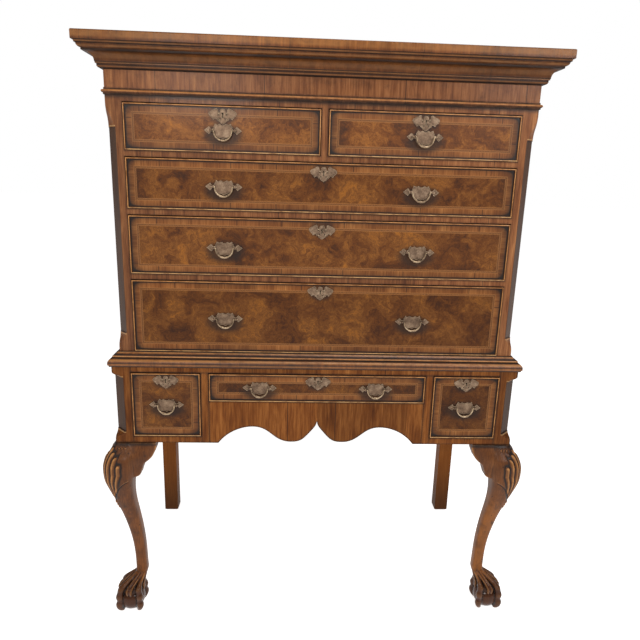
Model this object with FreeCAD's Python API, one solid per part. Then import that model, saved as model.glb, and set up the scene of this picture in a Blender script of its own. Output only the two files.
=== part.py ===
"""Walnut chest on stand: an upper case of five drawers that sits in the waist moulding of a
three-drawer stand on two cabriole front legs and two square rear legs.

Millimetres. +X is the right hand of someone facing the drawers, +Y points to the back, +Z is up.
The origin is on the floor, under the middle of the whole chest. Every node goes to parts/NODE.step.
"""

import FreeCAD, Part

import math
import os

V = FreeCAD.Vector
X, Y, Z = V(1, 0, 0), V(0, 1, 0), V(0, 0, 1)

# ---- driving dimensions: overall ----
UPPER_WIDTH = 1000.0          # across the sides of the upper case
UPPER_DEPTH = 515.0           # from the drawer fronts to the back
CORNICE_PROJECTION = 50.0     # cornice beyond the upper case, front and sides
STAND_STEP = 17.5             # stand beyond the upper case, front and sides
LEG_HEIGHT = 509.0            # floor to the underside of the stand's case

# ---- stand case ----
LOWER_RAIL = 18.5             # rail under the two deep drawers
DEEP_OPENING = 173.0          # height of a deep drawer's opening
CENTRE_OPENING = 76.0         # height of the shallow centre drawer's opening
CENTRE_OPENING_WIDTH = 556.0
STAND_TOP_RAIL = 32.5
STAND_STILE = 19.5            # upright between the centre drawer and a deep one
STAND_POST_WIDTH = 46.0
STAND_POST_DEPTH = 55.0
STAND_CANT = 27.0             # leg of the 45 degree cant on a stand post
STAND_RAIL_DEPTH = 40.0
APRON_THICKNESS = 20.0
CENTRE_RAIL = 14.0            # rail behind the top of the apron
REAR_LEG_WIDTH = 46.0
REAR_LEG_DEPTH = 44.0
REAR_LEG_BEVEL = 5.0
TENON = 26.0                  # square tenon on a front leg
TENON_HEIGHT = 45.0

# ---- upper case ----
LONG_OPENINGS = (183.0, 142.0, 119.0)   # long drawers, from the bottom up
SHORT_OPENING = 106.0
RAIL = 13.5                   # height of every rail of the upper case
RAIL_DEPTH = 70.0
DIVIDER = 16.0                # upright between the two short drawers
UPPER_POST_WIDTH = 37.0
UPPER_POST_DEPTH = 40.0
UPPER_CANT = 19.5
BOARD = 18.0                  # sides, top, bottom and frieze
BACK_BOARD = 10.0
BACK_BOARD_COUNT = 5
BACK_BOARD_GAP = 0.8
FRIEZE = 54.0                 # from the underside of the bead to the cornice
FRIEZE_BEAD = 15.0            # height of the bead
FRIEZE_BEAD_PROJECTION = 6.0
CORNICE = 69.0                # height of the cornice
WAIST_DROP = 18.0             # waist moulding below the top of the stand
WAIST_PROJECTION = 7.5        # waist moulding beyond the stand
CASE_CLEARANCE = 0.6          # between the waist moulding and the upper case

# ---- cants: the moulded stops at the ends of the canted corners ----
UPPER_STOP_TOP = 14.0         # square corner above the upper stop
UPPER_TONGUE_TOP = 56.0       # length of the upper lamb's tongue
UPPER_STOP_BOTTOM = 47.0      # top of the waist moulding to the lower stop
UPPER_TONGUE_BOTTOM = 36.0
STAND_STOP_TOP = 27.0
STAND_TONGUE_TOP = 16.0
STAND_STOP_BOTTOM = 31.0
STAND_TONGUE_BOTTOM = 20.0
LEDGE = 2.0                   # small square step where a tongue meets the cant

# ---- runners, guides and stops ----
RUNNER_WIDTH = 27.0           # of a runner under a drawer's side
GUIDE_HEIGHT = 22.0
CENTRE_RUNNER_WIDTH = 70.0
STOP_LENGTH = 40.0
STOP_HEIGHT = 6.0
STOP_DEPTH = 11.0
STOP_CLEARANCE = 0.3

# ---- drawers ----
GAP_SIDE = 1.2
GAP_TOP = 1.8
GAP_BOTTOM = 0.6
REAR_SPACE = 45.0             # from a closed drawer of the upper case to the outside of the back
FRONT = 20.0                  # thickness of a drawer front
LINING = 10.0                 # thickness of a drawer's sides and back
BOTTOM = 7.0
BOTTOM_RAISE = 8.0            # underside of the bottom above the side's lower edge
GROOVE = 5.0
SIDE_TOP_GAP = 4.0            # side's top below the front's top
BACK_TOP_GAP = 8.0            # back's top below the side's top
COCKBEAD = 4.0
COCKBEAD_DEPTH = 10.0
COCKBEAD_PROUD = 3.0
TAIL = 9.5                    # length of a dovetail
TAIL_PITCH = 34.0
TAIL_TIP, TAIL_ROOT = 8.5, 6.0   # half widths of a dovetail

# ---- brasses ----
PLATE = 1.6
POST_SPREAD = 26.5            # post's axis from the middle of a handle
PIVOT_OUT = 8.5               # bail's pivot in front of the drawer's face
POST_HEAD = 3.6
POST_NECK = 2.5
POST_SHANK = 2.0
POST_TAIL = 5.5               # shank behind the drawer front
SHANK_CLEARANCE = 0.25
NUT_FLAT, NUT = 9.0, 3.0
PIN = 1.25
PIN_CLEARANCE = 0.08
PIN_END = 4.6                 # pin's end beyond the post's axis
BAIL_CLEARANCE = 0.35         # between the bow and a post's head
BAIL_DROP = 22.5
BAIL_SIDE_RADIUS = 14.0
BAIL_BEND = 2.4
BAIL_ROD = 1.9
BAIL_GRIP = 2.8
BAIL_GRIP_HALF = 9.0
ESCUTCHEON = 1.4
KEYHOLE_DROP = 11.8           # keyhole's round below the escutcheon's top
KEYHOLE_RADIUS = 2.0
KEYHOLE_SLOT_WIDTH = 2.2
KEYHOLE_SLOT = 9.0
LOCK_WIDTH, LOCK_HEIGHT, LOCK_DEPTH = 50.0, 36.0, 9.0
BOLT_WIDTH, BOLT_HEIGHT, BOLT_THICKNESS = 22.0, 26.0, 4.5
BOLT_CLEARANCE = 0.25
BOLT_TRAVEL = 7.0             # a shot bolt, above the top of its drawer front
MORTICE_SPARE = 3.0           # mortice above a shot bolt
MORTICE_CLEARANCE = 1.0
SHORT_HANDLE_DROP = 54.5      # pivot below the top of a short drawer's front
DEEP_HANDLE_DROP = 84.0
LONG_HANDLE_X = 235.0
CENTRE_HANDLE_X = 148.5
LONG_HANDLE_LIFT = -3.0       # pivot against the middle of a long drawer's front
CENTRE_HANDLE_LIFT = 1.0
# escutcheon's top below the top of the drawer front
SHORT_KEY_DROP = 6.2
LONG_KEY_DROPS = (8.6, 12.0, 7.0)   # top, middle and bottom long drawer
STAND_KEY_DROP = 5.5

# ---- cabriole front legs: share of the height from the instep up to the case, projection beyond
# the stand, width of the square section ----
LEG_STATIONS = (
    (1.000, 4.0, 53.5), (0.956, 15.0, 64.5), (0.908, 26.0, 74.5), (0.866, 30.5, 78.0),
    (0.815, 31.0, 78.0), (0.766, 29.0, 71.5), (0.708, 22.5, 61.5), (0.617, 12.0, 50.5),
    (0.525, 0.5, 42.5), (0.412, -10.5, 37.0), (0.301, -18.5, 33.0), (0.208, -22.5, 31.0),
    (0.113, -24.0, 30.5), (0.052, -24.0, 31.5),
)
LEG_CORNER = 0.32             # corner radius as a share of the section's width
FOOT_INSET = 14.5             # foot's centre inside the stand's corner, on both axes
BALL_RADIUS = 35.0
BALL_CENTRE = 33.0            # height of the ball's centre; the ball is flat on the floor
INSTEP = ((84.0, 38.0), (71.0, 47.0), (56.0, 54.0))   # height and width of the foot's top
# talon: distance from the foot's axis, height and radius, from the instep to the claw
TALON = ((14.0, 90.0, 6.5), (25.0, 78.0, 8.0), (34.5, 64.0, 9.0), (41.0, 47.0, 9.0), (41.5, 29.0, 8.5),
         (33.0, 10.0, 6.0))

# ---- knee blocks: distance in from the leg's post and drop from the case, along the curved edge ----
BLOCK_EDGE = ((57.0, 0.0), (53.0, 22.0), (43.0, 41.0), (24.5, 58.0), (19.0, 73.0), (12.0, 90.0),
              (-6.0, 98.0))
BLOCK_FRONT = 8.0             # knee block beyond the stand's face
BLOCK_DEPTH = 34.0

# ---- apron: half of the shaped lower edge, from the middle outwards ----
APRON_CUSP = 62.5             # height of the middle cusp above the case's underside
APRON_PENDANT = (67.0, 4.5)
APRON_ARCH = (166.0, 46.5)
APRON_SPRING = 255.0          # where the outer arch springs from the straight edge

# ---- derived places ----
HALF = UPPER_WIDTH / 2
BACK = (UPPER_DEPTH + CORNICE_PROJECTION) / 2
FRONT_Y = BACK - UPPER_DEPTH
DRAWER_LENGTH = UPPER_DEPTH - REAR_SPACE
STAND_HALF = HALF + STAND_STEP
STAND_Y = FRONT_Y - STAND_STEP
DEEP_Z0 = LEG_HEIGHT + LOWER_RAIL
OPEN_TOP = DEEP_Z0 + DEEP_OPENING
CENTRE_Z0 = OPEN_TOP - CENTRE_OPENING
STAND_TOP = OPEN_TOP + STAND_TOP_RAIL
CASE_FLOOR = STAND_TOP + BOARD
INNER = HALF - UPPER_POST_WIDTH
STAND_INNER = STAND_HALF - STAND_POST_WIDTH
CENTRE_HALF = CENTRE_OPENING_WIDTH / 2
DEEP_X0 = CENTRE_HALF + STAND_STILE


def stack(bottom, heights, rail):
    """(low, high) of each opening, from the bottom up, with a rail after each."""
    found = []
    for height in heights:
        found.append((bottom, bottom + height))
        bottom += height + rail
    return found


BAIL_HALF = (POST_SPREAD - math.sqrt(POST_HEAD ** 2 - (PIN + PIN_CLEARANCE) ** 2) - BAIL_CLEARANCE
             - BAIL_BEND)     # bail's side from the middle of the handle
OPENINGS = stack(CASE_FLOOR, (*LONG_OPENINGS, SHORT_OPENING), RAIL)
FRIEZE_Z0 = OPENINGS[-1][1] + RAIL
CORNICE_Z0 = FRIEZE_Z0 + FRIEZE
TOP = CORNICE_Z0 + CORNICE


# ---- small helpers ----
def box(x0, x1, y0, y1, z0, z1):
    return Part.makeBox(x1 - x0, y1 - y0, z1 - z0, V(x0, y0, z0))


def prism(points, along):
    """A closed polygon of points, pushed along a vector."""
    return Part.Face(Part.makePolygon([*points, points[0]])).extrude(along)


def profile(edges, along):
    return Part.Face(Part.Wire(edges)).extrude(along)


def line(a, b):
    return Part.LineSegment(a, b).toShape()


def arc(a, middle, b):
    return Part.Arc(a, middle, b).toShape()


def rod(radius, length, start, direction):
    return Part.makeCylinder(radius, length, start, direction)


def mirrored(shape):
    """The same piece on the other side of the chest."""
    return shape.mirror(V(0, 0, 0), X)


def export(node, solids):
    """Writes one node from a list of separate solids."""
    flat = [solid for shape in solids for solid in shape.Solids]
    for solid in flat:
        if not solid.isValid() or solid.Volume <= 0:
            raise ValueError(node + " holds a bad solid")
    Part.makeCompound(flat).exportStep(os.path.join("parts", node + ".step"))


# ---- mouldings that run along the front and return along both sides ----
def mitred_run(section, half, face, depth_in, depth_out):
    """Front, left and right lengths of a moulding. section(place) draws the closed outline with
    place(p, z), where p is the projection beyond the face; the corners are mitred."""
    inner, outer = half - depth_in, half + depth_out
    y_in, y_out = face + depth_in, face - depth_out
    low, high = -1.0, TOP + 1.0
    rise = Z * (high - low)
    front_cut = prism([V(-inner, y_in, low), V(inner, y_in, low), V(outer, y_out, low),
                       V(-outer, y_out, low)], rise)
    side_cut = prism([V(inner, y_in, low), V(outer, y_out, low), V(outer, BACK, low),
                      V(inner, BACK, low)], rise)
    front = profile(section(lambda p, z: V(-outer, face - p, z)), X * 2 * outer)
    side = profile(section(lambda p, z: V(half + p, y_out, z)), Y * (BACK - y_out))
    right = side.common(side_cut)
    return [front.common(front_cut), mirrored(right), right]


def cornice_section(place):
    """Bed bead, cove, ovolo and a square fascia."""
    z, out = CORNICE_Z0, CORNICE_PROJECTION
    cove = 18.0
    foot, turn = (out - 36, z + 13), (out - 36 + cove, z + 13 + cove)
    middle = (foot[0] + cove * (1 - math.cos(math.pi / 4)), foot[1] + cove * math.sin(math.pi / 4))
    points = [(0, z), (out - 44, z), (out - 39.5, z + 4.5), (out - 39.5, z + 9), (out - 37, z + 9),
              (out - 37, z + 11), foot]
    edges = [line(place(*a), place(*b)) for a, b in zip(points[:2], points[1:3])]
    edges[1] = arc(place(*points[1]), place(out - 41.0, z + 1.6), place(*points[2]))
    edges += [line(place(*a), place(*b)) for a, b in zip(points[2:-1], points[3:])]
    edges.append(arc(place(*foot), place(*middle), place(*turn)))
    step = (out - 15.5, turn[1])
    ovolo = (out - 15.5, turn[1] + 4)
    ovolo_end = (out - 8, turn[1] + 13)
    fillet = (out - 5, turn[1] + 13)
    fascia = (out - 3, turn[1] + 18.5)
    edges += [line(place(*turn), place(*step)), line(place(*step), place(*ovolo)),
              arc(place(*ovolo), place(out - 9.6, turn[1] + 7.2), place(*ovolo_end)),
              line(place(*ovolo_end), place(*fillet)),
              arc(place(*fillet), place(out - 4.4, turn[1] + 16.6), place(*fascia)),
              line(place(*fascia), place(out, turn[1] + 18.5)),
              line(place(out, turn[1] + 18.5), place(out, TOP - 3)),
              arc(place(out, TOP - 3), place(out - 0.9, TOP - 0.9), place(out - 3, TOP)),
              line(place(out - 3, TOP), place(0, TOP)), line(place(0, TOP), place(0, z))]
    return edges


def bead_section(place):
    """A round bead between two fillets, on the lower edge of the frieze."""
    z, out = FRIEZE_Z0, FRIEZE_BEAD_PROJECTION
    corners = [(0, z), (out - 3.5, z), (out - 3.5, z + 3.5)]
    shoulder, end = (out - 3.5, z + 10.5), (out - 4.5, z + FRIEZE_BEAD)
    return [line(place(*corners[0]), place(*corners[1])), line(place(*corners[1]), place(*corners[2])),
            arc(place(*corners[2]), place(out, z + 7), place(*shoulder)),
            line(place(*shoulder), place(out - 4.5, z + 11)), line(place(out - 4.5, z + 11), place(*end)),
            line(place(*end), place(0, end[1])), line(place(0, end[1]), place(*corners[0]))]


def waist_section(place):
    """Fascia, ovolo, bead and fillet, climbing from the stand to the upper case."""
    low, tip = STAND_TOP - WAIST_DROP, STAND_STEP + WAIST_PROJECTION
    near, top = CASE_CLEARANCE, CASE_FLOOR
    corners = [(STAND_STEP, low), (tip - 3, low), (tip, low + 5), (tip, low + 10)]
    edges = [line(place(*corners[0]), place(*corners[1])),
             arc(place(*corners[1]), place(tip - 2.2, low + 3.2), place(*corners[2])),
             line(place(*corners[2]), place(*corners[3]))]
    edges += [arc(place(*corners[3]), place(tip - 2.6, low + 17), place(tip - 10, low + 21.5)),
              line(place(tip - 10, low + 21.5), place(tip - 12, low + 21.5)),
              arc(place(tip - 12, low + 21.5), place(tip - 10.4, low + 25), place(tip - 13, low + 28.5)),
              line(place(tip - 13, low + 28.5), place(tip - 16, low + 28.5)),
              arc(place(tip - 16, low + 28.5), place(near + 5, top - 4), place(near + 3, top - 2)),
              line(place(near + 3, top - 2), place(near + 3, top)),
              line(place(near + 3, top), place(near, top)),
              line(place(near, top), place(near, STAND_TOP)),
              line(place(near, STAND_TOP), place(STAND_STEP, STAND_TOP)),
              line(place(STAND_STEP, STAND_TOP), place(*corners[0]))]
    return edges


# ---- canted corner posts ----
def canted_post(half, face, width, depth, z0, z1, cant, stops):
    """Right-hand post with its outer front corner cut at 45 degrees between two moulded stops.
    stops is (square below, tongue below, square above, tongue above)."""
    post = box(half - width, half, face, face + depth, z0, z1)
    below, tongue_low, above, tongue_high = stops
    low, high = z0 + below, z1 - above
    corner = V(half, face, 0)
    inward = V(-1, 1, 0) * math.sqrt(0.5)
    depth_cut = cant * math.sqrt(0.5)

    def at(into, z):
        return corner + inward * into + Z * z

    def ogee(start, end, z_start, z_end):
        """A lamb's tongue: half of it bulges and half is hollow."""
        middle = at((start + end) / 2, (z_start + z_end) / 2)
        rise, into = z_end - z_start, end - start
        first = at(start + into * 0.14, z_start + rise * 0.28)
        second = at(end - into * 0.14, z_end - rise * 0.28)
        return [arc(at(start, z_start), first, middle), arc(middle, second, at(end, z_end))]

    cant_face = depth_cut - LEDGE
    edges = [*ogee(0, cant_face, low, low + tongue_low),
             line(at(cant_face, low + tongue_low), at(depth_cut, low + tongue_low)),
             line(at(depth_cut, low + tongue_low), at(depth_cut, high - tongue_high)),
             line(at(depth_cut, high - tongue_high), at(cant_face, high - tongue_high)),
             *ogee(cant_face, 0, high - tongue_high, high),
             line(at(0, high), at(-depth, high)), line(at(-depth, high), at(-depth, low)),
             line(at(-depth, low), at(0, low))]
    across = V(1, 1, 0) * math.sqrt(0.5)
    cutter = profile(edges, across * 4 * depth)
    cutter.translate(across * -2 * depth)
    return post.cut(cutter)


# ---- the eight drawers ----
class Drawer:
    """Places of one drawer: its opening, its face and its handles."""

    def __init__(self, name, x0, x1, z0, z1, face, handles, key_drop, drop=None, lift=0.0):
        self.name, self.face = name, face
        self.opening = (x0, x1, z0, z1)
        self.x0, self.x1 = x0 + GAP_SIDE, x1 - GAP_SIDE
        self.z0, self.z1 = z0 + GAP_BOTTOM, z1 - GAP_TOP
        self.middle = (x0 + x1) / 2
        self.pivot_z = (self.z0 + self.z1) / 2 + lift if drop is None else self.z1 - drop
        self.handles = handles
        self.rear = face + DRAWER_LENGTH
        self.key_top = self.z1 - key_drop

    def handle_names(self):
        """(bail's name, x of its middle) for each handle."""
        ends = ("left", "right")
        if len(self.handles) == 1:
            return [(self.name, self.middle)]
        return [(self.name + "_" + end, self.middle + x) for end, x in zip(ends, self.handles)]


def all_drawers():
    long_x = (-LONG_HANDLE_X, LONG_HANDLE_X)
    centre_x = (-CENTRE_HANDLE_X, CENTRE_HANDLE_X)
    short_z = OPENINGS[3]
    short = (*short_z, FRONT_Y, (0,), SHORT_KEY_DROP, SHORT_HANDLE_DROP)
    found = [Drawer("short_left", -INNER, -DIVIDER / 2, *short),
             Drawer("short_right", DIVIDER / 2, INNER, *short)]
    names = ("long_top", "long_middle", "long_bottom")
    for name, opening, key_drop in zip(names, reversed(OPENINGS[:3]), LONG_KEY_DROPS):
        found.append(Drawer(name, -INNER, INNER, *opening, FRONT_Y, long_x, key_drop, lift=LONG_HANDLE_LIFT))
    deep = (DEEP_Z0, OPEN_TOP, STAND_Y, (0,), STAND_KEY_DROP, DEEP_HANDLE_DROP)
    found += [Drawer("stand_left", -STAND_INNER, -DEEP_X0, *deep),
              Drawer("stand_centre", -CENTRE_HALF, CENTRE_HALF, CENTRE_Z0, OPEN_TOP, STAND_Y, centre_x,
                     STAND_KEY_DROP, lift=CENTRE_HANDLE_LIFT),
              Drawer("stand_right", DEEP_X0, STAND_INNER, *deep)]
    return found


def lock_room(d):
    """The block of space that a drawer's lock takes in the back of its front."""
    y1 = d.face + FRONT
    return box(d.middle - LOCK_WIDTH / 2, d.middle + LOCK_WIDTH / 2, y1 - LOCK_DEPTH, y1,
               d.z1 - LOCK_HEIGHT, d.z1)


def bolt_room(d, clearance, low, high):
    """A block round the bolt's section, from low to high."""
    y = d.face + FRONT - LOCK_DEPTH / 2
    wide, thick = BOLT_WIDTH / 2 + clearance, BOLT_THICKNESS / 2 + clearance
    return box(d.middle - wide, d.middle + wide, y - thick, y + thick, low, high)


def keyhole(d, y0, y1):
    """Round hole with a slot below it, as a solid to cut with."""
    z = d.key_top - KEYHOLE_DROP
    slot = KEYHOLE_SLOT_WIDTH / 2
    return rod(KEYHOLE_RADIUS, y1 - y0, V(d.middle, y0, z), Y).fuse(
        box(d.middle - slot, d.middle + slot, y0, y1, z - KEYHOLE_SLOT, z))


def bottom_panel(d):
    return box(d.x0 + LINING - GROOVE, d.x1 - LINING + GROOVE, d.face + FRONT - GROOVE, d.rear,
               d.z0 + BOTTOM_RAISE, d.z0 + BOTTOM_RAISE + BOTTOM)


def drawer_side(d):
    """Left side with dovetails at its front end."""
    y0 = d.face + FRONT
    top = d.z1 - SIDE_TOP_GAP
    side = box(d.x0, d.x0 + LINING, y0, d.rear, d.z0, top)
    count = max(2, round((top - d.z0) / TAIL_PITCH))
    pitch = (top - d.z0) / count
    for k in range(count):
        z = d.z0 + pitch * (k + 0.5)
        root, tip = TAIL_ROOT, TAIL_TIP
        side = side.fuse(prism([V(d.x0, y0, z - root), V(d.x0, y0 - TAIL, z - tip),
                                V(d.x0, y0 - TAIL, z + tip), V(d.x0, y0, z + root)], X * LINING))
    return side.removeSplitter()


def other_end(d, shape):
    return shape.mirror(V(d.middle, 0, 0), X)


def cockbeads(d):
    """Four mitred strips with round noses, let into the edges of the front."""
    t, nose = COCKBEAD, COCKBEAD_PROUD
    y_in, y_out = d.face + COCKBEAD_DEPTH, d.face - nose
    y_turn = y_out + t / 2
    x0, x1, z0, z1 = d.x0, d.x1, d.z0, d.z1
    reach = Y * (y_in - y_out)

    def strip(outer_a, outer_b, inner_b, inner_a):
        """Mitre trapezoid, and the rounded section swept along the outer edge."""
        ends = prism([V(p[0], y_out, p[1]) for p in (outer_a, outer_b, inner_b, inner_a)], reach)
        a, b = V(outer_a[0], 0, outer_a[1]), V(outer_b[0], 0, outer_b[1])
        run = b - a
        inward = V(inner_a[0] - outer_a[0], 0, inner_a[1] - outer_a[1])
        inward = inward - run * (inward.dot(run) / run.dot(run))
        inward.normalize()

        def at(across, y):
            return a + inward * across + Y * y

        edges = [line(at(0, y_in), at(0, y_turn)), arc(at(0, y_turn), at(t / 2, y_out), at(t, y_turn)),
                 line(at(t, y_turn), at(t, y_in)), line(at(t, y_in), at(0, y_in))]
        return profile(edges, run).common(ends)

    outer = [(x0, z0), (x1, z0), (x1, z1), (x0, z1)]
    inner = [(x0 + t, z0 + t), (x1 - t, z0 + t), (x1 - t, z1 - t), (x0 + t, z1 - t)]
    return [strip(outer[k], outer[(k + 1) % 4], inner[(k + 1) % 4], inner[k]) for k in range(4)]


def drawer_front(d):
    board = box(d.x0, d.x1, d.face, d.face + FRONT, d.z0, d.z1)
    t = COCKBEAD
    rebate = box(d.x0, d.x1, d.face, d.face + COCKBEAD_DEPTH, d.z0, d.z1).cut(
        box(d.x0 + t, d.x1 - t, d.face, d.face + COCKBEAD_DEPTH, d.z0 + t, d.z1 - t))
    board = board.cut(rebate).cut(bottom_panel(d)).cut(lock_room(d))
    side = drawer_side(d)
    board = board.cut(side).cut(other_end(d, side))
    board = board.cut(keyhole(d, d.face - 1, d.face + FRONT))
    for _, x in d.handle_names():
        for end in (-POST_SPREAD, POST_SPREAD):
            board = board.cut(rod(POST_SHANK + SHANK_CLEARANCE, FRONT + 2,
                                  V(x + end, d.face - 1, d.pivot_z), Y))
    return [board, *cockbeads(d)]


def drawer_box(d):
    bottom = bottom_panel(d)
    side = drawer_side(d).cut(bottom)
    back = box(d.x0 + LINING, d.x1 - LINING, d.rear - LINING, d.rear,
               d.z0 + BOTTOM_RAISE + BOTTOM, d.z1 - SIDE_TOP_GAP - BACK_TOP_GAP)
    return [side, other_end(d, side), back, bottom]


# ---- brasses ----
# half outline of the bat-wing back plate, from the top middle round to the bottom middle
PLATE_OUTLINE = ((0, 11.0), (3.5, 12.0), (6.5, 14.2), (9.0, 13.6), (11.5, 11.8), (14.5, 13.0), (18.0, 14.8),
                 (19.0, 11.0), (21.5, 7.6), (21.2, 4.6), (23.6, 3.4), (27.4, 3.2), (32.0, 8.4), (43.0, 0),
                 (32.0, -8.4), (27.4, -3.2), (23.6, -3.4), (21.0, -5.0), (20.6, -9.5), (18.0, -13.6),
                 (14.0, -15.6), (9.5, -16.8), (6.0, -16.0), (0, -18.8))
# half outline of the key escutcheon, down from its top
ESCUTCHEON_OUTLINE = ((0, -1.0), (3.4, -1.6), (5.6, -4.2), (6.4, -8.5), (8.6, -10.0), (10.6, -6.5),
                      (11.0, -2.5), (14.0, 0), (19.5, -2.4), (27.0, -6.2), (31.0, -8.6), (31.8, -12.4),
                      (29.0, -17.0), (24.5, -20.5), (21.5, -25.0), (17.5, -21.8), (14.5, -22.4),
                      (12.0, -26.8), (9.2, -26.4), (9.0, -28.6), (5.0, -31.6), (0, -35.0))
ESCUTCHEON_PIERCINGS = ((9.0, -13.6, 1.6), (6.4, -23.2, 1.5))


def both_halves(outline):
    """A full outline from its right half, which starts and ends on the middle line."""
    return [*outline, *[(-x, z) for x, z in reversed(outline[1:-1])]]


def back_plate(d, x):
    points = [V(x + a, d.face - PLATE, d.pivot_z + b) for a, b in both_halves(PLATE_OUTLINE)]
    plate = prism(points, Y * PLATE)
    for end in (-POST_SPREAD, POST_SPREAD):
        start = V(x + end, d.face - PLATE - 1, d.pivot_z)
        plate = plate.cut(rod(POST_SHANK + SHANK_CLEARANCE, PLATE + 2, start, Y))
    return plate


def post(d, x):
    """Round-headed post drilled across for the bail's pin, with a shank through the front."""
    pivot = V(x, d.face - PIVOT_OUT, d.pivot_z)
    head = Part.makeSphere(POST_HEAD, pivot)
    neck = rod(POST_NECK, PIVOT_OUT - PLATE, pivot, Y)
    collar = rod(POST_HEAD, 1.2, V(x, d.face - PLATE - 1.2, d.pivot_z), Y)
    shank = rod(POST_SHANK, PIVOT_OUT + FRONT + POST_TAIL, pivot, Y)
    hole = rod(PIN + PIN_CLEARANCE, 4 * POST_HEAD, pivot - X * 2 * POST_HEAD, X)
    return head.fuse([neck, collar, shank]).cut(hole)


def nut(d, x):
    """Square nut on the end of a post, inside the drawer."""
    half, y = NUT_FLAT / 2, d.face + FRONT
    block = box(x - half, x + half, y, y + NUT, d.pivot_z - half, d.pivot_z + half)
    return block.cut(rod(POST_SHANK + SHANK_CLEARANCE / 2, NUT + 2, V(x, y - 1, d.pivot_z), Y))


def escutcheon(d):
    top = d.key_top
    y = d.face - ESCUTCHEON
    plate = prism([V(d.middle + a, y, top + b) for a, b in both_halves(ESCUTCHEON_OUTLINE)], Y * ESCUTCHEON)
    for a, b, radius in ESCUTCHEON_PIERCINGS:
        for side in (-a, a):
            plate = plate.cut(rod(radius, ESCUTCHEON + 2, V(d.middle + side, y - 1, top + b), Y))
    return plate.cut(keyhole(d, y - 1, d.face + 1))


def lock_case(d):
    bolt_slot = bolt_room(d, BOLT_CLEARANCE, d.z1 - BOLT_HEIGHT, d.z1 + 1)
    return lock_room(d).cut(bolt_slot).cut(keyhole(d, d.face, d.face + FRONT - LOCK_DEPTH / 2))


def lock_bolt(d):
    """Drawn bolt, its end level with the top of the front."""
    blank = bolt_room(d, 0, d.z1 - BOLT_HEIGHT, d.z1)
    return blank.cut(keyhole(d, d.face, d.face + FRONT + 1))


def bail_path():
    """Centre line of a bail's bow, with its pivot at the origin: right half, bottom, left half and grip."""
    a, r, drop, bend = BAIL_HALF, BAIL_SIDE_RADIUS, BAIL_DROP, BAIL_BEND
    side = (a - r, -bend)
    # the bottom arc is centred over the middle and just touches both side arcs
    big = (side[0] ** 2 + (drop - bend) ** 2 - r ** 2) / (2 * (drop - bend - r))
    centre_z = big - drop
    aim = math.atan2(side[1] - centre_z, side[0])
    touch = (big * math.cos(aim), centre_z + big * math.sin(aim))

    def at(x, z):
        return V(x, 0, z)

    half_turn = aim / 2
    side_middle = at(side[0] + r * math.cos(half_turn), side[1] + r * math.sin(half_turn))
    bend_centre = (a + bend, -bend)
    bend_middle = at(bend_centre[0] - bend * math.sqrt(0.5), bend_centre[1] + bend * math.sqrt(0.5))
    right = [arc(at(a + bend, 0), bend_middle, at(a, -bend)), arc(at(a, -bend), side_middle, at(*touch))]
    left = [edge.mirror(V(0, 0, 0), X) for edge in right]
    bottom = arc(at(*touch), at(0, -drop), at(-touch[0], touch[1]))
    grip_angle = math.asin(BAIL_GRIP_HALF / big)
    grip = arc(at(-big * math.sin(grip_angle), centre_z - big * math.cos(grip_angle)), at(0, -drop),
               at(big * math.sin(grip_angle), centre_z - big * math.cos(grip_angle)))
    return right, bottom, left, grip


def swept(edges, radius, start, direction):
    ring = Part.Wire([Part.makeCircle(radius, start, direction)])
    return Part.Wire(Part.__sortEdges__(edges)).makePipeShell([ring], True, False)


def bail(d, x):
    right, bottom, left, grip = bail_path()
    a, bend = BAIL_HALF, BAIL_BEND
    bow = swept([*right, bottom, *reversed(left)], BAIL_ROD, V(a + bend, 0, 0), X)
    pin_length = POST_SPREAD + PIN_END - a - bend
    pins = [rod(PIN, pin_length, V(a + bend, 0, 0), X), rod(PIN, pin_length, V(-a - bend, 0, 0), X * -1)]
    start = grip.valueAt(grip.FirstParameter)
    thick = swept([grip], BAIL_GRIP, start, grip.tangentAt(grip.FirstParameter))
    whole = bow.fuse([*pins, thick]).removeSplitter()
    whole.translate(V(x, d.face - PIVOT_OUT, d.pivot_z))
    return whole


def brasses(d):
    found = []
    for _, x in d.handle_names():
        found.append(back_plate(d, x))
        for end in (-POST_SPREAD, POST_SPREAD):
            found += [post(d, x + end), nut(d, x + end)]
    return [*found, escutcheon(d), lock_case(d)]


# ---- carcase ----
def with_mortices(rail, drawers):
    """Cuts the mortices that the bolts of the drawers below shoot into."""
    for d in drawers:
        rail = rail.cut(bolt_room(d, MORTICE_CLEARANCE, d.z1 - 1, d.z1 + BOLT_TRAVEL + MORTICE_SPARE))
    return rail


def upper_rails(drawers):
    """Three rails, the top rail and the upright between the short drawers."""
    below = {"rail_0": ["long_bottom"], "rail_1": ["long_middle"], "rail_2": ["long_top"],
             "rail_3": ["short_left", "short_right"]}
    by_name = {d.name: d for d in drawers}
    found = []
    for k, (_, high) in enumerate(OPENINGS):
        rail = box(-INNER, INNER, FRONT_Y, FRONT_Y + RAIL_DEPTH, high, high + RAIL)
        found.append(with_mortices(rail, [by_name[n] for n in below["rail_%d" % k]]))
    found.append(box(-DIVIDER / 2, DIVIDER / 2, FRONT_Y, FRONT_Y + RAIL_DEPTH, *OPENINGS[3]))
    return found


def upper_posts():
    right = canted_post(HALF, FRONT_Y, UPPER_POST_WIDTH, UPPER_POST_DEPTH, CASE_FLOOR, FRIEZE_Z0, UPPER_CANT,
                        (UPPER_STOP_BOTTOM - UPPER_TONGUE_BOTTOM, UPPER_TONGUE_BOTTOM,
                         UPPER_STOP_TOP, UPPER_TONGUE_TOP))
    return [mirrored(right), right]


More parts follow.
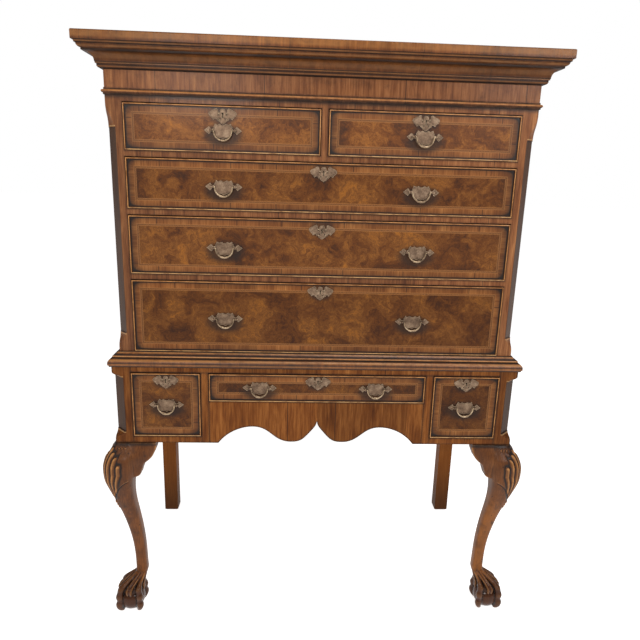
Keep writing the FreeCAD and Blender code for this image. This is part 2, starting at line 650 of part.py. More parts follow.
def upper_sides():
    """Sides stepped round the posts below the frieze."""
    y_post, y_frieze, top = FRONT_Y + UPPER_POST_DEPTH, FRONT_Y + BOARD, TOP - BOARD
    outline = [(y_post, CASE_FLOOR), (BACK, CASE_FLOOR), (BACK, top), (y_frieze, top), (y_frieze, FRIEZE_Z0),
               (y_post, FRIEZE_Z0)]
    right = prism([V(HALF - BOARD, y, z) for y, z in outline], X * BOARD)
    return [mirrored(right), right]


def upper_boards():
    """Top and bottom of the upper case."""
    levels = ((TOP - BOARD, TOP), (STAND_TOP, CASE_FLOOR))
    return [box(-HALF, HALF, FRONT_Y, BACK, *level) for level in levels]


def upper_back():
    """Upright back boards side by side."""
    inside = 2 * (HALF - BOARD)
    width = (inside - BACK_BOARD_GAP * (BACK_BOARD_COUNT - 1)) / BACK_BOARD_COUNT
    found = []
    for k in range(BACK_BOARD_COUNT):
        x = -inside / 2 + k * (width + BACK_BOARD_GAP)
        found.append(box(x, x + width, BACK - BACK_BOARD, BACK, CASE_FLOOR, TOP - BOARD))
    return found


def frieze():
    board = box(-HALF, HALF, FRONT_Y, FRONT_Y + BOARD, FRIEZE_Z0, TOP - BOARD)
    return [board, *mitred_run(bead_section, HALF, FRONT_Y, 0, FRIEZE_BEAD_PROJECTION)]


def stop_block(x, y, z):
    y0 = y + FRONT + STOP_CLEARANCE
    return box(x - STOP_LENGTH / 2, x + STOP_LENGTH / 2, y0, y0 + STOP_DEPTH, z, z + STOP_HEIGHT)


def upper_runners():
    """Runners, guides, kickers and stops of the upper case."""
    side_in, y0, y1 = HALF - BOARD, FRONT_Y + RAIL_DEPTH, BACK - BACK_BOARD
    y_guide = FRONT_Y + UPPER_POST_DEPTH
    found = []
    for k, (low, high) in enumerate(OPENINGS):
        runner = box(INNER - RUNNER_WIDTH, side_in, y0, y1, high, high + RAIL)
        guide = box(INNER, side_in, y_guide if k == 0 else y0, y1, low, low + GUIDE_HEIGHT)
        found += [runner, mirrored(runner), guide, mirrored(guide)]
    low, high = OPENINGS[3]
    half = CENTRE_RUNNER_WIDTH / 2
    found += [box(-half, half, y0, y1, low - RAIL, low), box(-half, half, y0, y1, high, high + RAIL),
              box(-DIVIDER / 2, DIVIDER / 2, y0, y1, low, low + GUIDE_HEIGHT)]
    return found


def stand_runners():
    """Partitions, runners and guides of the stand."""
    rear = BACK - REAR_LEG_DEPTH
    y0, y1 = STAND_Y + STAND_RAIL_DEPTH, BACK - BOARD
    side_in = STAND_HALF - BOARD
    thick = CENTRE_RAIL
    y_guide = STAND_Y + STAND_POST_DEPTH
    partition = box(CENTRE_HALF, DEEP_X0, y0, y1, DEEP_Z0 - thick, OPEN_TOP)
    outer = box(STAND_INNER - RUNNER_WIDTH + BOARD, STAND_INNER, y0, y1, DEEP_Z0 - thick, DEEP_Z0)
    guide = box(STAND_INNER, side_in, y_guide, rear, DEEP_Z0 - thick, DEEP_Z0 + GUIDE_HEIGHT)
    inner = box(DEEP_X0, DEEP_X0 + RUNNER_WIDTH - BOARD, y0, y1, DEEP_Z0 - thick, DEEP_Z0)
    centre = box(CENTRE_HALF - RUNNER_WIDTH + BOARD, CENTRE_HALF, y0, y1, CENTRE_Z0 - thick, CENTRE_Z0)
    right = [partition, outer, guide, inner, centre]
    return [*right, *[mirrored(piece) for piece in right]]


def stops(drawers):
    """Two small blocks behind each drawer front, on the rail or board that it runs over."""
    found = []
    for d in drawers:
        quarter = (d.x1 - d.x0) / 4
        for x in (d.middle - quarter, d.middle + quarter):
            found.append(stop_block(x, d.face, d.opening[2]))
    return found


def leg_tenon():
    """Square tenon that stands up from the right front leg into its post."""
    x = STAND_HALF - STAND_POST_WIDTH + 4
    y = STAND_Y + STAND_POST_WIDTH - 4
    return box(x, x + TENON, y - TENON, y, LEG_HEIGHT, LEG_HEIGHT + TENON_HEIGHT)


def stand_posts():
    post_right = canted_post(STAND_HALF, STAND_Y, STAND_POST_WIDTH, STAND_POST_DEPTH, LEG_HEIGHT, STAND_TOP,
                             STAND_CANT, (STAND_STOP_BOTTOM - STAND_TONGUE_BOTTOM, STAND_TONGUE_BOTTOM,
                                          STAND_TOP_RAIL, STAND_TONGUE_TOP))
    right = post_right.cut(leg_tenon())
    return [mirrored(right), right]


def stand_frame(drawers):
    """Canted posts, top rail, stiles, lower rails and the rail behind the apron."""
    lower = [d for d in drawers if d.face == STAND_Y]
    y1 = STAND_Y + STAND_RAIL_DEPTH
    top = with_mortices(box(-STAND_INNER, STAND_INNER, STAND_Y, y1, OPEN_TOP, STAND_TOP), lower)
    stile = box(CENTRE_HALF, DEEP_X0, STAND_Y, y1, LEG_HEIGHT, OPEN_TOP)
    rail = box(DEEP_X0, STAND_INNER, STAND_Y, y1, LEG_HEIGHT, DEEP_Z0)
    behind = box(-CENTRE_HALF, CENTRE_HALF, STAND_Y + APRON_THICKNESS, y1,
                 CENTRE_Z0 - CENTRE_RAIL, CENTRE_Z0)
    return [*stand_posts(), top, stile, mirrored(stile), rail, mirrored(rail), behind]


def smooth(points, start=None, end=None):
    """One smooth edge through points, with the directions given at its ends."""
    curve = Part.BSplineCurve()
    if start is None:
        curve.interpolate(Points=points)
    else:
        curve.interpolate(Points=points, InitialTangent=start, FinalTangent=end)
    return curve.toShape()


def apron():
    """Board under the centre drawer with two arches, two pendants and a middle cusp."""
    def at(x, rise):
        return V(x, STAND_Y, LEG_HEIGHT + rise)

    pendant, arch_top = APRON_PENDANT, APRON_ARCH
    between = ((pendant[0] + arch_top[0]) / 2, (pendant[1] + arch_top[1]) / 2)
    rise = V(0, 0, 1)
    inner = smooth([at(0, APRON_CUSP), at(pendant[0] * 0.18, APRON_CUSP * 0.62),
                    at(pendant[0] * 0.5, APRON_CUSP * 0.24), at(*pendant)], V(0.1, 0, -1), X)
    middle = smooth([at(*pendant), at(*between), at(*arch_top)], X, X)
    shoulder = at((arch_top[0] * 2 + APRON_SPRING) / 3, arch_top[1] * 0.9)
    outer = smooth([at(*arch_top), shoulder, at(APRON_SPRING, 0)], X, V(0.75, 0, -1))
    half_edge = [inner, middle, outer, line(at(APRON_SPRING, 0), at(CENTRE_HALF, 0))]
    top = CENTRE_Z0 - LEG_HEIGHT
    edges = [*half_edge, *[edge.mirror(V(0, 0, 0), X) for edge in half_edge],
             line(at(CENTRE_HALF, 0), at(CENTRE_HALF, top)),
             line(at(CENTRE_HALF, top), at(-CENTRE_HALF, top)),
             line(at(-CENTRE_HALF, top), at(-CENTRE_HALF, 0))]
    return [profile(Part.__sortEdges__(edges), Y * APRON_THICKNESS)]


def stand_sides():
    y0, y1 = STAND_Y + STAND_POST_DEPTH, BACK - REAR_LEG_DEPTH
    right = box(STAND_HALF - BOARD, STAND_HALF, y0, y1, LEG_HEIGHT, STAND_TOP)
    return [mirrored(right), right]


def stand_back():
    half = STAND_HALF - REAR_LEG_WIDTH
    return [box(-half, half, BACK - BOARD, BACK, LEG_HEIGHT, STAND_TOP)]


def rear_legs():
    """Square legs up to the top of the stand, bevelled round the foot."""
    w, d, b = REAR_LEG_WIDTH, REAR_LEG_DEPTH, REAR_LEG_BEVEL
    x0, y0 = STAND_HALF - w, BACK - d
    foot = box(x0, STAND_HALF, y0, BACK, 0, STAND_TOP)
    low_edges = [e for e in foot.Edges if all(abs(v.Z) < 1e-6 for v in e.Vertexes)]
    right = foot.makeChamfer(b, low_edges)
    return [mirrored(right), right]


def ring(cx, cy, z, width, corner):
    """Rounded square wire at one height."""
    h, r = width / 2, width * corner
    q = r * (1 - math.sqrt(0.5))
    edges = []
    for k in range(4):
        c, s = (1, 0, -1, 0)[k], (0, 1, 0, -1)[k]

        def at(u, v):
            return V(cx + c * u - s * v, cy + s * u + c * v, z)

        edges += [line(at(h, -h + r), at(h, h - r)), arc(at(h, h - r), at(h - q, h - q), at(h - r, h))]
    return Part.Wire(Part.__sortEdges__(edges))


def foot_centre():
    return STAND_HALF - FOOT_INSET, STAND_Y + FOOT_INSET


def leg_sections():
    """(centre x, centre y, z, width, corner share) down the right front leg."""
    found = []
    foot = INSTEP[0][0]
    for share, out, width in LEG_STATIONS:
        inset = out - width / 2
        z = foot + share * (LEG_HEIGHT - foot)
        found.append((STAND_HALF + inset, STAND_Y - inset, z, width, LEG_CORNER))
    ax, ay, az = found[-1][:3]
    fx, fy = foot_centre()
    for z, width in INSTEP:
        t = min(1.0, (az - z) / (az - INSTEP[-2][0]))
        found.append((ax + (fx - ax) * t, ay + (fy - ay) * t, z, width, 0.42))
    return found


def talon(angle):
    """One claw, a tapered round section that follows a bent path over the ball."""
    fx, fy = foot_centre()
    c, s = math.cos(angle), math.sin(angle)
    centres = [V(fx + c * out, fy + s * out, z) for out, z, _ in TALON]
    rings = []
    for k, centre in enumerate(centres):
        before, after = centres[max(k - 1, 0)], centres[min(k + 1, len(centres) - 1)]
        rings.append(Part.Wire([Part.makeCircle(TALON[k][2], centre, (after - before).normalize())]))
    return Part.makeLoft(rings, True, False)


def cabriole_leg():
    """Right front leg, carved from one piece: knee, ankle, ball and four talons, with a tenon."""
    leg = Part.makeLoft([ring(*section) for section in leg_sections()], True, False)
    fx, fy = foot_centre()
    ball = Part.makeSphere(BALL_RADIUS, V(fx, fy, BALL_CENTRE))
    whole = leg.fuse(ball)
    for k in range(4):
        whole = whole.fuse(talon(math.pi / 4 + k * math.pi / 2))
    floor = box(fx - 100, fx + 100, fy - 100, fy + 100, -100, 0)
    return whole.cut(floor).fuse(leg_tenon())


def knee_block(leg):
    """Shaped block beside the knee, under the front rail, fitted to the leg."""
    x0 = STAND_HALF - STAND_POST_WIDTH
    far = x0 + STAND_POST_WIDTH / 2

    def at(inward, drop):
        return V(x0 - inward, STAND_Y - BLOCK_FRONT, LEG_HEIGHT - drop)

    (a, b, notch, c, d, e, f) = [at(*p) for p in BLOCK_EDGE]
    low = at(x0 - far, BLOCK_EDGE[-1][1])
    edges = [smooth([a, b, notch, c]), smooth([c, d, e, f]), line(f, low),
             line(low, at(x0 - far, 0)), line(at(x0 - far, 0), a)]
    return profile(edges, Y * BLOCK_DEPTH).cut(leg)


def swap_sides(shape):
    """Reflects a piece in the upright plane through the stand's corner, from front to side."""
    corner = V(STAND_HALF, STAND_Y, 0)
    return shape.mirror(corner, V(1, 1, 0).normalize())


def front_leg():
    leg = cabriole_leg()
    block = knee_block(leg)
    return [leg, block, swap_sides(block)]


def build():
    os.makedirs("parts", exist_ok=True)
    drawers = all_drawers()
    export("cornice", mitred_run(cornice_section, HALF, FRONT_Y, 0, CORNICE_PROJECTION))
    export("frieze", frieze())
    export("upper_case_sides", upper_sides())
    export("upper_case_boards", upper_boards())
    export("upper_case_back", upper_back())
    export("upper_corner_posts", upper_posts())
    export("upper_drawer_rails", upper_rails(drawers))
    export("drawer_runners", [*upper_runners(), *stand_runners(), *stops(drawers)])
    export("waist_moulding", mitred_run(waist_section, HALF, FRONT_Y, 0, STAND_STEP + WAIST_PROJECTION))
    export("stand_sides", stand_sides())
    export("stand_back", stand_back())
    export("stand_front_frame", stand_frame(drawers))
    export("stand_apron", apron())
    right_leg = front_leg()
    export("front_leg_right", right_leg)
    export("front_leg_left", [mirrored(piece) for piece in right_leg])
    export("rear_legs", rear_legs())
    for d in drawers:
        export("drawer_%s_front" % d.name, drawer_front(d))
        export("drawer_%s_box" % d.name, drawer_box(d))
        export("drawer_%s_brasses" % d.name, brasses(d))
        export("lock_bolt_%s" % d.name, [lock_bolt(d)])
        for name, x in d.handle_names():
            export("bail_%s" % name, [bail(d, x)])


build()
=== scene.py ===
"""Looks of the walnut chest on stand: veneers, carved legs, brasses, light and camera."""

import math

import bmesh
import bpy
import numpy as np
from mathutils import Matrix, Vector


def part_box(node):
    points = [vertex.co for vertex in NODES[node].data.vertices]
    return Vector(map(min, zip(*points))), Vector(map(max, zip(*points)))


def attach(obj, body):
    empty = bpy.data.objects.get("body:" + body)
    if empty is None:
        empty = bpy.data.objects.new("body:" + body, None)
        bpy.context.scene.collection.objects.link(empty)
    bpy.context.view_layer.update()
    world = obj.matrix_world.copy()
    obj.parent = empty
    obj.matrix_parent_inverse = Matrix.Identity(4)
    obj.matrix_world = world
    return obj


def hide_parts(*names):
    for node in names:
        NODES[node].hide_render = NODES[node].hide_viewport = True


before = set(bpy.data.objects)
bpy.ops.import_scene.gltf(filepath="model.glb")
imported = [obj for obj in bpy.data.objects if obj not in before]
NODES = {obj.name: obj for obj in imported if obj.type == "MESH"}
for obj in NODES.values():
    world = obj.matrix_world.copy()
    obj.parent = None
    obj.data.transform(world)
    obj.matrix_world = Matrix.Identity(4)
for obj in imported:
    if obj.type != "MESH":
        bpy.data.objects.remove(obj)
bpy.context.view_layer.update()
MM = 0.001

# ---------------------------------------------------------------- places read from the CAD
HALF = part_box("upper_case_sides")[1].x
FRONT_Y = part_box("upper_drawer_rails")[0].y
CORNICE_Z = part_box("cornice")[0].z
FRIEZE_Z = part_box("frieze")[0].z
WAIST_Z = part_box("waist_moulding")[0].z
POST_LOW, POST_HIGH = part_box("upper_corner_posts")
STAND_LOW, STAND_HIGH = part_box("stand_front_frame")
STAND_Y, STAND_HALF, CASE_Z = STAND_LOW.y, STAND_HIGH.x, STAND_LOW.z
DRAWERS = sorted(n[7:-6] for n in NODES if n.startswith("drawer_") and n.endswith("_front"))
BAILS = sorted(n[5:] for n in NODES if n.startswith("bail_"))


# ---------------------------------------------------------------- node trees
class Graph:
    """A material's node tree, built one call at a time."""

    def __init__(self, name):
        self.material = bpy.data.materials.new(name)
        self.material.use_nodes = True
        self.tree = self.material.node_tree
        self.tree.nodes.clear()
        output = self.node("ShaderNodeOutputMaterial")
        self.shader = self.node("ShaderNodeBsdfPrincipled")
        self.tree.links.new(self.shader.outputs[0], output.inputs[0])
        self.place = self.node("ShaderNodeTexCoord").outputs["Object"]
        self.x, self.y, self.z = self.split(self.place)

    def node(self, kind, **settings):
        made = self.tree.nodes.new(kind)
        for key, value in settings.items():
            setattr(made, key, value)
        return made

    def put(self, socket, value):
        if isinstance(value, bpy.types.NodeSocket):
            self.tree.links.new(value, socket)
        else:
            socket.default_value = value

    def math(self, operation, a, b=0.0, clamp=False):
        made = self.node("ShaderNodeMath", operation=operation, use_clamp=clamp)
        for socket, value in zip(made.inputs, (a, b)):
            self.put(socket, value)
        return made.outputs[0]

    def add(self, a, b):
        return self.math("ADD", a, b)

    def sub(self, a, b):
        return self.math("SUBTRACT", a, b)

    def mul(self, a, b, clamp=False):
        return self.math("MULTIPLY", a, b, clamp)

    def div(self, a, b):
        return self.math("DIVIDE", a, b)

    def gap(self, a, b):
        """How far a and b are apart."""
        return self.math("ABSOLUTE", self.sub(a, b))

    def split(self, vector):
        made = self.node("ShaderNodeSeparateXYZ")
        self.put(made.inputs[0], vector)
        return made.outputs[0], made.outputs[1], made.outputs[2]

    def join(self, x, y, z):
        made = self.node("ShaderNodeCombineXYZ")
        for socket, value in zip(made.inputs, (x, y, z)):
            self.put(socket, value)
        return made.outputs[0]

    def vector(self, operation, a, b):
        made = self.node("ShaderNodeVectorMath", operation=operation)
        self.put(made.inputs[0], a)
        self.put(made.inputs[1], b)
        return made.outputs[0]

    def noise(self, vector, scale, detail=3.0, rough=0.5, warp=0.0, colour=False):
        made = self.node("ShaderNodeTexNoise")
        self.put(made.inputs["Vector"], vector)
        for key, value in zip(("Scale", "Detail", "Roughness", "Distortion"),
                              (scale, detail, rough, warp)):
            self.put(made.inputs[key], value)
        return made.outputs["Color" if colour else "Fac"]

    def cells(self, vector, scale):
        """Distance to the nearest of scattered points."""
        made = self.node("ShaderNodeTexVoronoi", feature="F1")
        self.put(made.inputs["Vector"], vector)
        self.put(made.inputs["Scale"], scale)
        return made.outputs["Distance"]

    def ramp(self, value, stops):
        made = self.node("ShaderNodeValToRGB")
        elements = made.color_ramp.elements
        while len(elements) < len(stops):
            elements.new(0.5)
        for element, (at, colour) in zip(elements, stops):
            element.position = at
            element.color = (*colour, 1.0)
        self.put(made.inputs[0], value)
        return made.outputs[0]

    def mix(self, share, a, b):
        """Colour a, turning into colour b as share rises to 1."""
        made = self.node("ShaderNodeMix", data_type="RGBA")
        self.put(made.inputs[0], share)
        for socket, value in ((made.inputs[6], a), (made.inputs[7], b)):
            self.put(socket, (*value, 1.0) if isinstance(value, tuple) else value)
        return made.outputs[2]

    def blend(self, share, a, b):
        """Number a, turning into number b as share rises to 1."""
        made = self.node("ShaderNodeMix", data_type="FLOAT")
        self.put(made.inputs[0], share)
        self.put(made.inputs[2], a)
        self.put(made.inputs[3], b)
        return made.outputs[0]

    def step(self, value, low, high, first=0.0, last=1.0):
        """Smooth step from first at low to last at high."""
        made = self.node("ShaderNodeMapRange", interpolation_type="SMOOTHSTEP")
        for socket, number in zip(made.inputs, (value, low, high, first, last)):
            self.put(socket, number)
        return made.outputs[0]

    def bump(self, height, distance):
        made = self.node("ShaderNodeBump")
        made.inputs["Strength"].default_value = 1.0
        made.inputs["Distance"].default_value = distance
        self.put(made.inputs["Height"], height)
        return made.outputs[0]

    def crevice(self, distance):
        """1 in the open, 0 deep in a hollow of the same piece."""
        made = self.node("ShaderNodeAmbientOcclusion", only_local=True, samples=6)
        made.inputs["Distance"].default_value = distance
        return made.outputs["AO"]

    def edge(self, distance):
        """1 on a flat face, less beside a sharp outer edge of the same piece."""
        made = self.node("ShaderNodeAmbientOcclusion", only_local=True, inside=True, samples=6)
        made.inputs["Distance"].default_value = distance
        return made.outputs["AO"]

    def finish(self, colour, rough, normal=None, **fixed):
        self.put(self.shader.inputs["Base Color"], colour)
        self.put(self.shader.inputs["Roughness"], rough)
        if normal is not None:
            self.put(self.shader.inputs["Normal"], normal)
        for key, value in fixed.items():
            self.shader.inputs[key.replace("_", " ")].default_value = value
        return self.material


# ---------------------------------------------------------------- colours and sizes of the finish
VARNISH = {"Coat_Weight": 0.08, "Coat_Roughness": 0.15, "Specular_IOR_Level": 0.13}

DARK = (0.013, 0.008, 0.006)
DEEP = (0.036, 0.013, 0.005)
BROWN = (0.082, 0.025, 0.006)
MID = (0.140, 0.045, 0.010)
TAN = (0.225, 0.084, 0.021)
ORANGE = (0.360, 0.130, 0.026)
GOLD = (0.400, 0.180, 0.055)
STRAW = (0.430, 0.270, 0.115)
# painted shade for the canted faces, which turn away from the light
CANT_SHADE = (0.030, 0.019, 0.014)
BARE_WOOD = (0.33, 0.19, 0.09)
WALNUT = (DEEP, BROWN, MID, TAN)
RAIL = ((0.062, 0.019, 0.006), (0.118, 0.039, 0.012), (0.185, 0.070, 0.023), (0.280, 0.120, 0.043))
RICH = ((0.060, 0.017, 0.004), (0.105, 0.031, 0.006), (0.165, 0.056, 0.012), (0.240, 0.090, 0.022))
LINING = [(0.30, (0.150, 0.080, 0.036)), (0.50, (0.270, 0.160, 0.080)), (0.70, (0.390, 0.255, 0.140))]
# painted light: each burr sheet's brightness, highest on the top drawers, which catch the most light,
# and lower further down
BURR_PAINTED_LIGHT = {"short_left": 0.84, "short_right": 0.84, "long_top": 0.64, "long_middle": 0.66,
             "long_bottom": 0.55, "stand_left": 0.56, "stand_centre": 0.55, "stand_right": 0.50}

# canted corners: width on the front, and how far the cant stops short of the post's ends
UPPER_CANT, UPPER_CANT_FOOT, UPPER_CANT_HEAD = 0.0195, 0.0470, 0.0700
STAND_CANT, STAND_CANT_FOOT, STAND_CANT_HEAD = 0.027, 0.0310, 0.0485
STOP_EASE = 0.0015             # height over which the cant's painted shade ends
STOP_FILLET = 3.2              # millimetres from there to the light fillet
BEAD_SHADOW = 0.012            # height of the painted shadow under the frieze's bead
# distances in from the edge of a drawer front
BEAD_WIDTH, BEAD_MIDDLE = 0.0039, 0.0019
FEATHER_START, FEATHER_SPINE, BURR_START = 0.0188, 0.0215, 0.0240
FEATHER_TURNS = 2600.0         # radians of the feather line's slant grain in a metre
BEAD_STANDS = 3 * MM           # how far the cockbead stands out from the face
BACK_FACE = 0.0102             # from a drawer's face to its bare wood
HANDLE_HALO, KEY_HALO = (0.056, 0.031), (0.036, 0.024)   # half width and half height of the painted shadow round a brass
KEY_DROP = 0.022               # from the top of a front to the middle of its key plate


def straight_grain(g, run, across, depth, stops, seed, figure=22.0):
    """Colour, roughness and height of straight-grained walnut whose grain runs along run."""
    def grain(stretch, scale, detail, rough, warp=0.0):
        place = g.join(g.mul(run, stretch), across, g.add(depth, seed))
        return g.noise(place, scale, detail, rough, warp)

    broad = grain(0.12, figure, 3.0, 0.55, 0.6)
    fine = grain(0.05, 330.0, 3.0, 0.6)
    share = g.add(g.mul(broad, 0.55), g.mul(fine, 0.45))
    colour = g.ramp(share, stops)
    pores = g.step(grain(0.09, 1500.0, 2.0, 0.7), 0.60, 0.72)
    colour = g.mix(g.mul(pores, 0.55), colour, DEEP)
    rough = g.add(0.36, g.mul(fine, 0.16))
    height = g.sub(g.mul(fine, 0.35), g.mul(pores, 0.6))
    return colour, rough, height


def tones(*colours, low=0.30, high=0.68):
    """Ramp stops for colours spread evenly from low to high."""
    last = len(colours) - 1
    return [(low + (high - low) * k / last, c) for k, c in enumerate(colours)]


def veneer_joints(g, colour, along, pitch, seed):
    """Fine dark joints across a cross-banded strip, at uneven distances, and a tone for each piece."""
    cell = g.math("FLOOR", g.div(along, pitch))
    noise = g.node("ShaderNodeTexWhiteNoise", noise_dimensions="1D")
    g.put(noise.inputs["W"], g.add(cell, seed))
    chance = noise.outputs["Value"]
    inside = g.math("FRACT", g.div(along, pitch))
    away = g.gap(inside, g.add(0.2, g.mul(chance, 0.6)))
    crack = g.step(away, 0.5 * MM / pitch, 1.2 * MM / pitch, 1.0, 0.0)
    shade = g.mul(g.sub(chance, 0.5), 0.35)
    piece = g.node("ShaderNodeHueSaturation")
    g.put(piece.inputs["Value"], g.add(1.0, shade))
    g.put(piece.inputs["Color"], colour)
    return g.mix(g.mul(crack, 0.75), piece.outputs[0], DARK)


def opening_shadow(g, names):
    """Painted shadow in the gaps round the drawer openings."""
    nearest = 1.0
    for drawer in names:
        low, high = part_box("drawer_%s_front" % drawer)
        dx = g.sub(g.gap(g.x, (low.x + high.x) / 2), (high.x - low.x) / 2)
        dz = g.sub(g.gap(g.z, (low.z + high.z) / 2), (high.z - low.z) / 2)
        nearest = g.math("MINIMUM", nearest, g.math("MAXIMUM", dx, dz))
    return g.math("POWER", 2.0, g.mul(nearest, -620.0), clamp=True)


def lines(g, height, places):
    """Soft level lines at (height, half width, strength), lengths in millimetres, added together."""
    total = 0.0
    for at, half, strength in places:
        away = g.gap(height, at * MM)
        total = g.add(total, g.step(away, half * 0.4 * MM, half * 1.3 * MM, strength, 0.0))
    return g.math("MINIMUM", total, 0.95)


def front_veneer(name, seed, drawers=(), cant=None, gloss=0.13, wood=RAIL, rim=0.0):
    """Upright-grained veneer of the rails, posts and apron, with painted shadow round the drawers'
    openings.

    cant gives the canted corners their painted shade, as they turn away from the light: the front's half
    width and place, the cant's width, and the heights where it ends. rim darkens the sharp edges."""
    g = Graph(name)
    stops = tones(*wood, low=0.32, high=0.70)
    colour, rough, height = straight_grain(g, g.z, g.x, g.y, stops, seed, 70.0)
    colour = veneer_joints(g, colour, g.x, 0.235, seed)
    # painted shadow under the frieze's bead
    frieze_bead_shadow = g.step(g.z, FRIEZE_Z - BEAD_SHADOW, FRIEZE_Z, 0.0, 0.85)
    colour = g.mix(frieze_bead_shadow, colour, DARK)
    if drawers:
        # painted shadow round the drawer openings
        colour = g.mix(g.mul(opening_shadow(g, drawers), 0.92), colour, DARK)
    # painted shade on the canted corners
    if cant:
        half, face, leg, bottom, stop = cant
        inside = g.add(g.sub(half, g.math("ABSOLUTE", g.x)), g.sub(g.y, face))
        on_cant = g.step(inside, leg + 0.0004, leg + 0.0016, 1.0, 0.0)
        below = g.step(g.z, stop, stop + STOP_EASE, 1.0, 0.0)
        above = g.step(g.z, bottom - STOP_EASE, bottom)
        on_cant = g.mul(on_cant, g.mul(below, above))
        colour = g.mix(g.mul(on_cant, 0.80), colour, CANT_SHADE)
        fillet = g.add(lines(g, g.sub(g.z, stop), ((STOP_FILLET, 1.3, 0.5),)),
                       lines(g, g.sub(g.z, bottom), ((-STOP_FILLET, 1.3, 0.5),)))
        turned = g.step(inside, leg - 0.0002, leg + 0.0010, 1.0, 0.0)
        colour = g.mix(g.mul(fillet, turned), colour, STRAW)
    # painted shade in the hollows of the piece
    dirt_and_shade = g.step(g.crevice(0.012), 0.35, 0.95, 0.75, 0.0)
    colour = g.mix(dirt_and_shade, colour, DARK)
    if rim:
        colour = g.mix(g.step(g.edge(0.006), 0.50, 0.92, rim, 0.0), colour, DARK)
    settings = dict(VARNISH, Specular_IOR_Level=gloss)
    return g.finish(colour, rough, g.bump(height, 0.00012), **settings)


def side_veneer(name):
    """Upright-grained boards of the sides."""
    g = Graph(name)
    stops = tones(*WALNUT, low=0.28, high=0.76)
    colour, rough, height = straight_grain(g, g.z, g.y, g.x, stops, 4.0)
    return g.finish(colour, rough, g.bump(height, 0.00012), **VARNISH)


def moulding(name, seed, wood, gloss, bottom, quirks, crests, figure=55.0, low=0.0):
    """Cross-grained walnut that turns round the mitred corners: dirt and painted shade in the quirks,
    painted highlights on the crests.

    quirks and crests are lines above bottom. low darkens the lowest members with painted shade, as under
    the cornice's overhang."""
    g = Graph(name)
    beyond = g.add(g.sub(g.math("ABSOLUTE", g.x), HALF), g.sub(g.y, FRONT_Y))
    on_side = g.math("GREATER_THAN", beyond, 0.0)
    run = g.blend(on_side, g.x, g.y)
    out = g.blend(on_side, g.y, g.x)
    stops = tones(*wood, low=0.28, high=0.76)
    colour, rough, height = straight_grain(g, g.z, run, out, stops, seed, figure)
    colour = veneer_joints(g, colour, run, 0.31, seed)
    cloud = g.noise(g.place, 26.0, 4.0, 0.6)
    level = g.sub(g.z, bottom)
    # painted highlights along the crests, patchy
    painted_light = g.mul(lines(g, level, crests), g.step(cloud, 0.30, 0.60, 0.35, 1.0))
    colour = g.mix(painted_light, colour, GOLD)
    colour = g.mix(g.step(cloud, 0.50, 0.75, 0.0, 0.5), colour, DEEP)
    # painted shade on the lowest members, under the overhang
    colour = g.mix(g.step(level, 0.046, 0.056, low, 0.0), colour, DEEP)
    # dirt and painted shade in the quirks
    dirt_and_shade = g.mul(lines(g, level, quirks), g.step(cloud, 0.25, 0.55, 0.75, 1.0))
    colour = g.mix(dirt_and_shade, colour, DARK)
    # painted shade in the hollows
    colour = g.mix(g.step(g.crevice(0.010), 0.30, 0.85, 0.70, 0.0), colour, DARK)
    rough = g.add(g.sub(rough, 0.10), g.mul(dirt_and_shade, 0.35))
    settings = dict(VARNISH, Specular_IOR_Level=gloss, Coat_Weight=0.02)
    return g.finish(colour, rough, g.bump(height, 0.00010), **settings)


def plain_boards(name, run, seed):
    """Bare secondary wood: linings, runners and back boards."""
    g = Graph(name)
    axes = {"y": (g.y, g.z, g.x), "z": (g.z, g.x, g.y)}[run]
    colour, rough, height = straight_grain(g, *axes, LINING, seed)
    return g.finish(colour, g.add(rough, 0.25), g.bump(height, 0.0002))


def burr(g, seed):
    """Colour and height of burr walnut in the plane of a drawer front."""
    flat = g.join(g.x, g.add(g.y, seed), g.z)
    bend = g.noise(flat, 16.0, 3.0, 0.55, 0.0, colour=True)

    def warped(amount):
        shift = g.vector("SUBTRACT", bend, (0.5, 0.5, 0.5))
        return g.vector("ADD", flat, g.vector("MULTIPLY", shift, (amount, amount, amount)))

    def level_streaks(stretch, scale, detail, rough, warp):
        return g.noise(g.vector("MULTIPLY", bent, (1.0, 1.0, stretch)), scale, detail, rough, warp)

    bent = warped(0.110)
    patch = g.noise(bent, 11.0, 3.0, 0.55, 0.6)
    swirl = g.noise(bent, 38.0, 6.0, 0.65, 1.2)
    curl = level_streaks(2.1, 130.0, 4.0, 0.65, 2.2)
    share = g.add(g.mul(patch, 0.46), g.add(g.mul(swirl, 0.30), g.mul(curl, 0.24)))
    colour = g.ramp(share, [(0.36, DEEP), (0.43, BROWN), (0.49, MID), (0.56, TAN), (0.63, ORANGE),
                            (0.72, GOLD)])
    flow = warped(0.20)
    vein = g.gap(g.noise(flow, 64.0, 4.0, 0.6, 1.5), 0.5)
    colour = g.mix(g.step(vein, 0.0, 0.030, 0.50, 0.0), colour, DEEP)
    streak = g.step(level_streaks(3.0, 75.0, 3.0, 0.6, 3.0), 0.60, 0.70)
    colour = g.mix(g.mul(streak, 0.45), colour, DEEP)
    eyes = g.step(g.cells(bent, 110.0), 0.08, 0.28, 1.0, 0.0)
    eyes = g.mul(eyes, g.step(g.noise(flat, 21.0, 1.0), 0.54, 0.66))
    colour = g.mix(g.mul(eyes, 0.6), colour, DEEP)
    return colour, g.sub(curl, g.mul(eyes, 0.4))


def halo(g, colour, x, z, reach, near, far, strength):
    """Painted shadow in an ellipse round a brass; near and far are shares of its reach."""
    across = g.div(g.sub(g.x, x), reach[0])
    up = g.div(g.sub(g.z, z), reach[1])
    away = g.math("SQRT", g.add(g.mul(across, across), g.mul(up, up)))
    return g.mix(g.step(away, near, far, strength, 0.0), colour, DARK)


